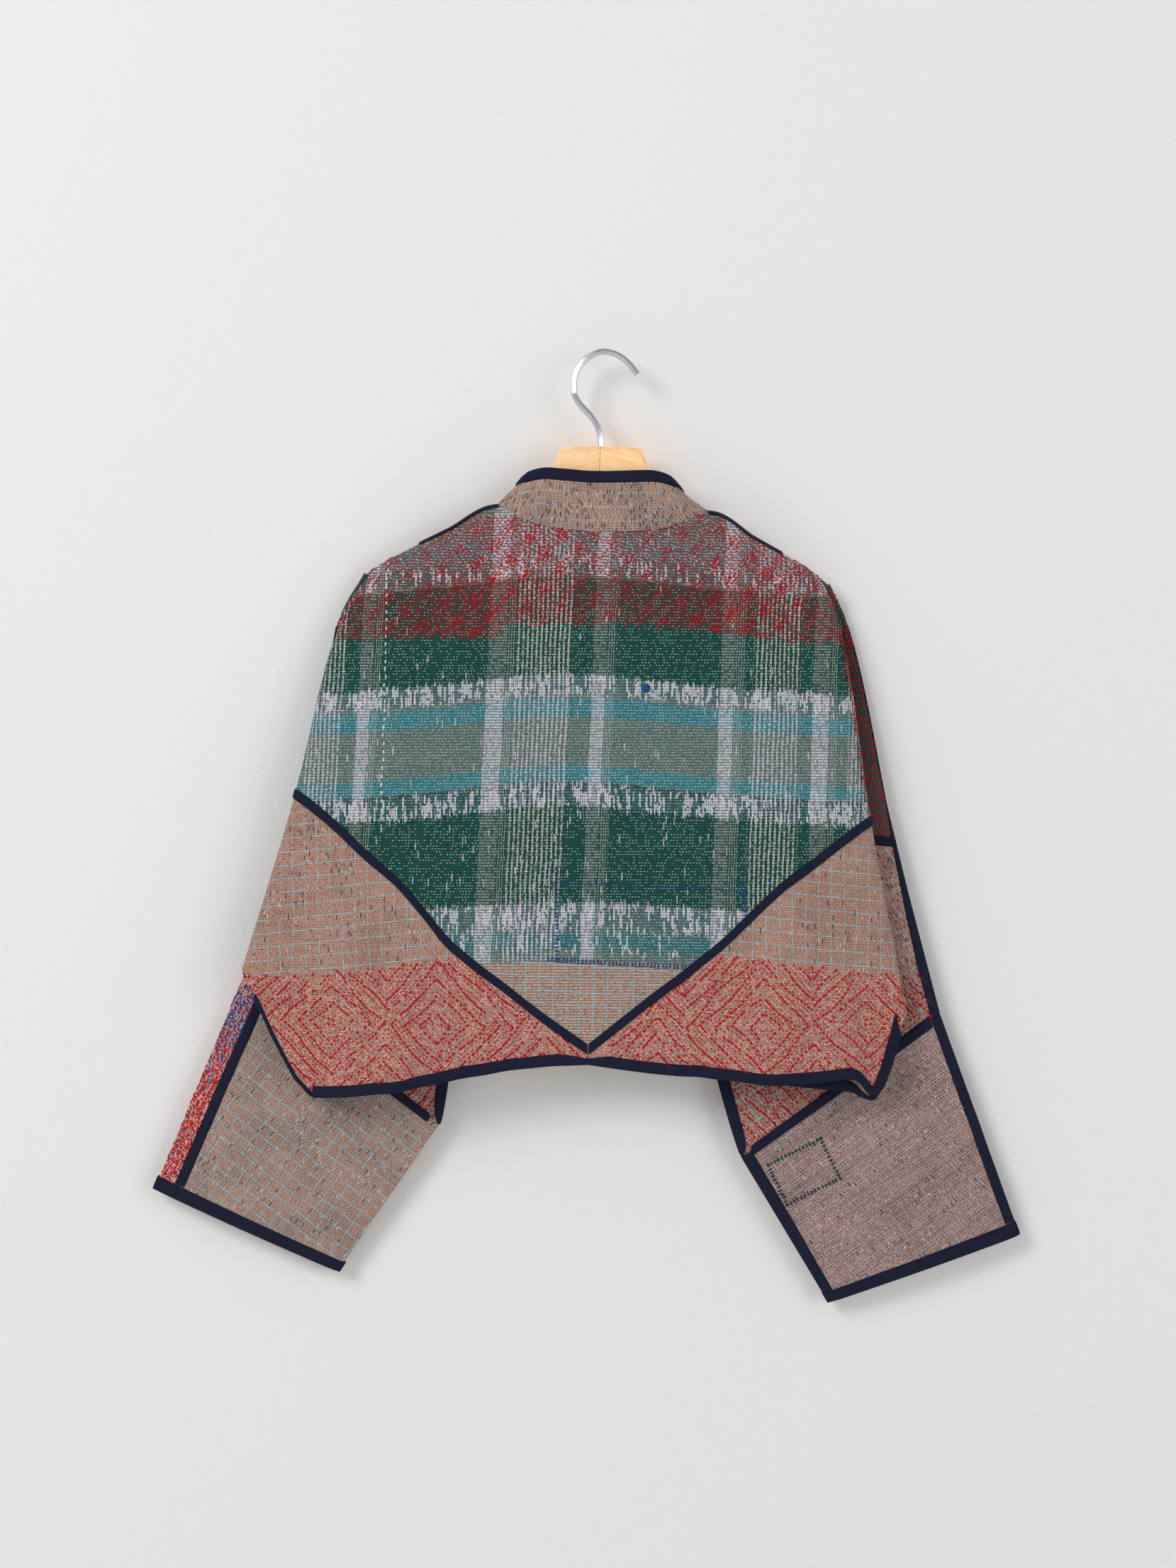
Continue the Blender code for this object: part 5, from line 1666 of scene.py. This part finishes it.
    def gusset_rings(self) -> None:
        """Red stitches in nested diamonds below the gussets' boundary, with pale ones between."""
        random = self.worker.random
        for side in (-1, 1):
            for at, ring, quarter, x, z in self.diamonds():
                if not self.below_boundary(x, z):
                    continue
                bold = 1.0 if ring % 3 == at % 3 else 0.15
                place = (side * x + random.uniform(-0.5, 0.5), z + random.uniform(-0.5, 0.5))
                way = (side, 1.0 if quarter % 2 == 1 else -1.0)
                if random.random() < 0.66 + 0.26 * bold:
                    size = random.uniform(2.4, 3.8) + bold * 1.2
                    self.worker.stitch("red_thread_gussets", "gussets", place, way, size, 1.1 + 1.3 * bold)
                if random.random() < 0.3:
                    name = "pale_thread_gussets" if random.random() < 0.5 else "sky_thread_gussets"
                    beside = (place[0] + random.uniform(1.2, 2.4), place[1] + random.uniform(1.2, 2.4))
                    self.worker.stitch(name, "gussets", beside, way, random.uniform(1.8, 2.6), 0.8)

    def below_boundary(self, x: float, z: float) -> bool:
        """Whether a place lies in the red-stitched part of a gusset."""
        share = (abs(x) - FALL_SPAN[0]) / (FALL_SPAN[1] - FALL_SPAN[0])
        start = RED_FROM + RED_FALL * min(max(share, 0), 1)
        return -z > start + self.worker.random.uniform(0, 4)

    def row(self, thread: str, cloth: str, start: tuple, end: tuple, pitch: float, length: float,
            turned: bool, width: float, jitter: float) -> None:
        """A line of stitches, along it or across it.

        Args:
            thread: The thread's name.
            cloth: The panel.
            start: The first stitch's (x, z).
            end: The last stitch's (x, z).
            pitch: From one stitch to the next.
            length: A stitch's length.
            turned: Whether the stitches lie across the line.
            width: The thread's width.
            jitter: How far a stitch strays.
        """
        random = self.worker.random
        span = np.subtract(end, start)
        count = max(int(np.hypot(*span) / pitch), 1)
        way = span / np.hypot(*span)
        if turned:
            way = np.array([-way[1], way[0]])
        for k in range(count + 1):
            place = np.add(start, span * k / count) + random.uniform(-jitter, jitter, 2)
            size = length * random.uniform(0.8, 1.2)
            self.worker.stitch(thread, cloth, tuple(place), tuple(way), size, width)

    def mends(self) -> None:
        """The blue mending stitches, the dotted white line, the tuft and the stray ends."""
        for thread, *rest in MENDS:
            self.row(thread, "yoke", *rest)
        for angle in np.linspace(0, math.pi, 9, endpoint=False):
            way = (math.cos(angle), math.sin(angle))
            for middle, length, width in TUFT:
                self.worker.stitch("blue_thread", "yoke", middle, way, length, width)
        for place in STRAYS:
            self.worker.stitch("cobalt_thread", "gussets", place, (1.0, 0.4), 3.6, 1.1)
        for step in range(3):
            place = (229 + step * 0.8, -536 - step * 3.6)
            self.worker.stitch("dark_thread", "gussets", place, (0.4, -1.0), 4.2, 0.7)

    def square(self) -> None:
        """The dark green blanket-stitched square on the right sleeve."""
        name = "green_thread_right"
        for k, start in enumerate(self.square_corners):
            end = self.square_corners[(k + 1) % 4]
            self.row(name, "cuff_right", start, end, 3.6, 5.0, True, 1.7, 0.4)
            self.row(name, "cuff_right", start, end, 4.4, 4.2, False, 0.9, 0.2)

    def rolled_strip(self) -> None:
        """Cobalt, red and pink stitches on the rolled strip of the left sleeve."""
        random = self.worker.random
        for k in range(self.roll_rows):
            share = k / self.roll_rows
            for step in range(self.roll_count):
                x = self.roll_start[0] - share * self.roll_run[0] - 1.5 + step * 3.2 + random.uniform(-1, 1)
                z = self.roll_start[1] - share * self.roll_run[1] + step * 1.6 + random.uniform(-1, 1)
                name = "cobalt_thread_roll" if random.random() < 1.12 - share * 1.9 else "red_thread_roll"
                if share < 0.1 and random.random() < 0.5:
                    name = "pale_thread_roll"
                self.worker.stitch(name, "roll", (x, z), (0.35, 1.0), random.uniform(2.8, 4.6), 1.6)

    def sew_all(self) -> None:
        """Works every zone and makes each thread one piece."""
        self.yoke_waves()
        self.outer_strip()
        self.gusset_rings()
        self.mends()
        self.square()
        self.rolled_strip()
        tints = {
            "red": RED, "blue": paint(26, 80, 136), "white": paint(238, 232, 222), "cobalt": COBALT,
            "dark": paint(34, 36, 44), "green": paint(22, 62, 56), "pale": paint(232, 204, 196), "sky": SKY,
        }
        finishes = {word: Thread(f"{word} cotton thread", colour).build() for word, colour in tints.items()}
        slots = {"gussets": "red_kantha", "roll": "beige_kantha", "right": "mauve_kantha"}
        for thread in sorted(self.worker.held):
            word = thread.split("_")[0]
            place = thread.split("_")[-1]
            self.worker.sew(thread, finishes[word], slots.get(place, "plaid_kantha"))


@dataclass
class Hanger:
    """The wooden hanger and its wire hook, whose solids keep their shapes."""

    wood: Beech = Beech()
    wire: Wire = Wire()

    def dress(self) -> None:
        """Finishes both solids."""
        for node, finish in (("hanger_wood", self.wood), ("hanger_hook", self.wire)):
            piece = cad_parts[node]
            made = finish.build()
            for slot in piece.material_slots:
                slot.material = made
            LOG.info("%s: dressed", node)


@dataclass
class Studio:
    """The camera, the lights, a pale backdrop behind the jacket and a pale floor, in metres."""

    distance: float = 2.5
    height: float = 1.46
    centre: tuple[float, float] = (-0.0109, -0.3993)
    floor_drop: float = 0.36
    half_width: float = 4.0
    top: float = 2.4
    lamps: tuple = (
        ("window", (-2.6, -3.1, 1.6), (0, 0, -0.4), 1.8, 97),
        ("fill", (2.8, -3.0, -0.1), (0, 0, -0.45), 2.2, 35),
        ("behind", (0.6, 2.2, 0.9), (0, 0, -0.4), 1.6, 30),
    )

    def camera(self) -> None:
        """The photograph's view, square to the jacket."""
        data = bpy.data.cameras.new("camera")
        data.sensor_width = 36.0
        data.lens = data.sensor_width * self.distance / self.height
        made = bpy.data.objects.new("camera", data)
        made.location = (self.centre[0], -self.distance, self.centre[1])
        made.rotation_euler = (math.pi / 2, 0, 0)
        bpy.context.scene.collection.objects.link(made)
        bpy.context.scene.camera = made

    def lamp(self, name: str, place: tuple, aim: tuple, size: float, power: float) -> None:
        """One soft lamp.

        Args:
            name: Its name.
            place: Where it stands.
            aim: What it points at.
            size: Its width.
            power: Its strength, in watts.
        """
        data = bpy.data.lights.new(name, "AREA")
        data.size = size
        data.energy = power
        made = bpy.data.objects.new(name, data)
        made.location = place
        made.rotation_euler = (Vector(aim) - Vector(place)).to_track_quat("-Z", "Y").to_euler()
        bpy.context.scene.collection.objects.link(made)

    def plaster(self) -> Material:
        """Off-white paint that a view from behind looks through.

        Returns:
            The finished material.
        """
        r = Recipe("pale backdrop")
        r.feed(r.shader.inputs["Base Color"], paint(232, 231, 229))
        r.shader.inputs["Roughness"].default_value = 0.9
        x, y, z = r.object_places()
        rough = r.cloud(x / 5.0, z / 5.0, 3.0, y / 5.0)
        bump = r.node("ShaderNodeBump", {}, {"Distance": 0.0004, "Height": rough})
        r.feed(r.shader.inputs["Normal"], bump.outputs[0])
        clear = r.node("ShaderNodeBsdfTransparent", {}, {})
        back = r.node("ShaderNodeNewGeometry", {}, {}).outputs["Backfacing"]
        both = r.node("ShaderNodeMixShader", {}, {0: back, 1: r.shader.outputs[0], 2: clear.outputs[0]})
        output = next(n for n in r.tree.nodes if n.type == "OUTPUT_MATERIAL")
        r.tree.links.new(both.outputs[0], output.inputs[0])
        return r.material

    def surfaces(self) -> None:
        """The backdrop and the floor."""
        back = CAD_BOX[1][1] + 0.003
        low = CAD_BOX[0][2] - self.floor_drop
        wide = self.half_width
        sheet = [(-wide, back, low), (wide, back, low), (wide, back, self.top), (-wide, back, self.top)]
        floor = [(-wide, -wide, low), (wide, -wide, low), (wide, wide, low), (-wide, wide, low)]
        face = np.array([[0, 1, 2, 3]])
        piece = new_mesh("studio_backdrop", np.array(sheet), face)
        piece.data.materials.append(self.plaster())
        piece.visible_shadow = False
        piece = new_mesh("studio_floor", np.array(floor), face)
        r = Recipe("pale floor")
        r.feed(r.shader.inputs["Base Color"], paint(226, 225, 222))
        piece.data.materials.append(r.material)

    def light(self) -> None:
        """Soft daylight from the upper left, a fill, and a weak light for views from behind."""
        world = bpy.data.worlds.new("soft daylight")
        world.use_nodes = True
        background = world.node_tree.nodes["Background"]
        background.inputs[0].default_value = (0.93, 0.95, 1.0, 1)
        background.inputs[1].default_value = 0.42
        bpy.context.scene.world = world
        for lamp in self.lamps:
            self.lamp(*lamp)

    def build(self) -> None:
        """Sets up the studio."""
        self.camera()
        self.surfaces()
        self.light()
        bpy.context.scene.view_settings.view_transform = "Standard"


def tree_of(*pieces: bpy.types.Object) -> BVHTree:
    """A search tree over finished pieces."""
    points = []
    faces = []
    for piece in pieces:
        start = len(points)
        points.extend(v.co.copy() for v in piece.data.vertices)
        faces.extend(tuple(start + i for i in face.vertices) for face in piece.data.polygons)
    return BVHTree.FromPolygons(points, faces)


def main() -> None:
    """Builds and dresses the jacket, then the studio."""
    logging.basicConfig(level=logging.INFO, format="%(name)s %(message)s")
    tubes = {sign: Tube(sign) for sign in SIDES}
    rose = PaneKantha("rose kantha", paint(172, 134, 118), paint(160, 124, 106), pane_share=0.75, tilt=0.1,
                      dot_share=0.62, worked=Worked.RED_BELOW)
    plain = PaneKantha("plain rose kantha", ROSE, paint(172, 138, 116))
    rolled = PaneKantha("rolled kantha", paint(206, 156, 142), ROSE, worked=Worked.ROLLED_RED)
    taupe = PaneKantha("taupe kantha", paint(168, 138, 124), paint(148, 126, 114), pane_share=0.72,
                       dot_share=0.72)
    mauve = PaneKantha("mauve kantha", paint(166, 132, 122), paint(144, 114, 106), pane=(12.2, 6.1),
                       pane_share=0.55, dots=PLUM, worked=Worked.PLUM_ROWS)
    tweed = PaneKantha("striped kantha", paint(178, 142, 122), paint(152, 126, 112), pane=(14.5, 13.0),
                       dot_share=0.95, slub_share=0.34)
    panels = Panels(tubes)
    panels.yoke(PlaidKantha().build())
    panels.gussets(rose.build())
    plain_made = plain.build()
    panels.fronts(plain_made)
    panels.cuffs({1: mauve.build(), -1: taupe.build()}, {1: plain_made, -1: rolled.build()})
    panels.collar(tweed.build())
    strips = Bindings(tubes, NavyCotton().build())
    strips.seams()
    strips.shoulders()
    strips.hems()
    strips.overarms()
    strips.sleeve_ends()
    strips.centre_fronts()
    strips.collar(panels.collar_grid())
    made = panels.made
    trees = {
        "yoke": tree_of(made["back_yoke"]),
        "gussets": tree_of(made["gusset_back_left"], made["gusset_back_right"]),
        "cuff_right": tree_of(made["cuff_back_right"]),
        "roll": tree_of(made["cuff_front_left"]),
    }
    HandStitches(Seamstress(trees, np.random.default_rng(11))).sew_all()
    Hanger().dress()
    Studio().build()


if __name__ == "__main__":
    main()
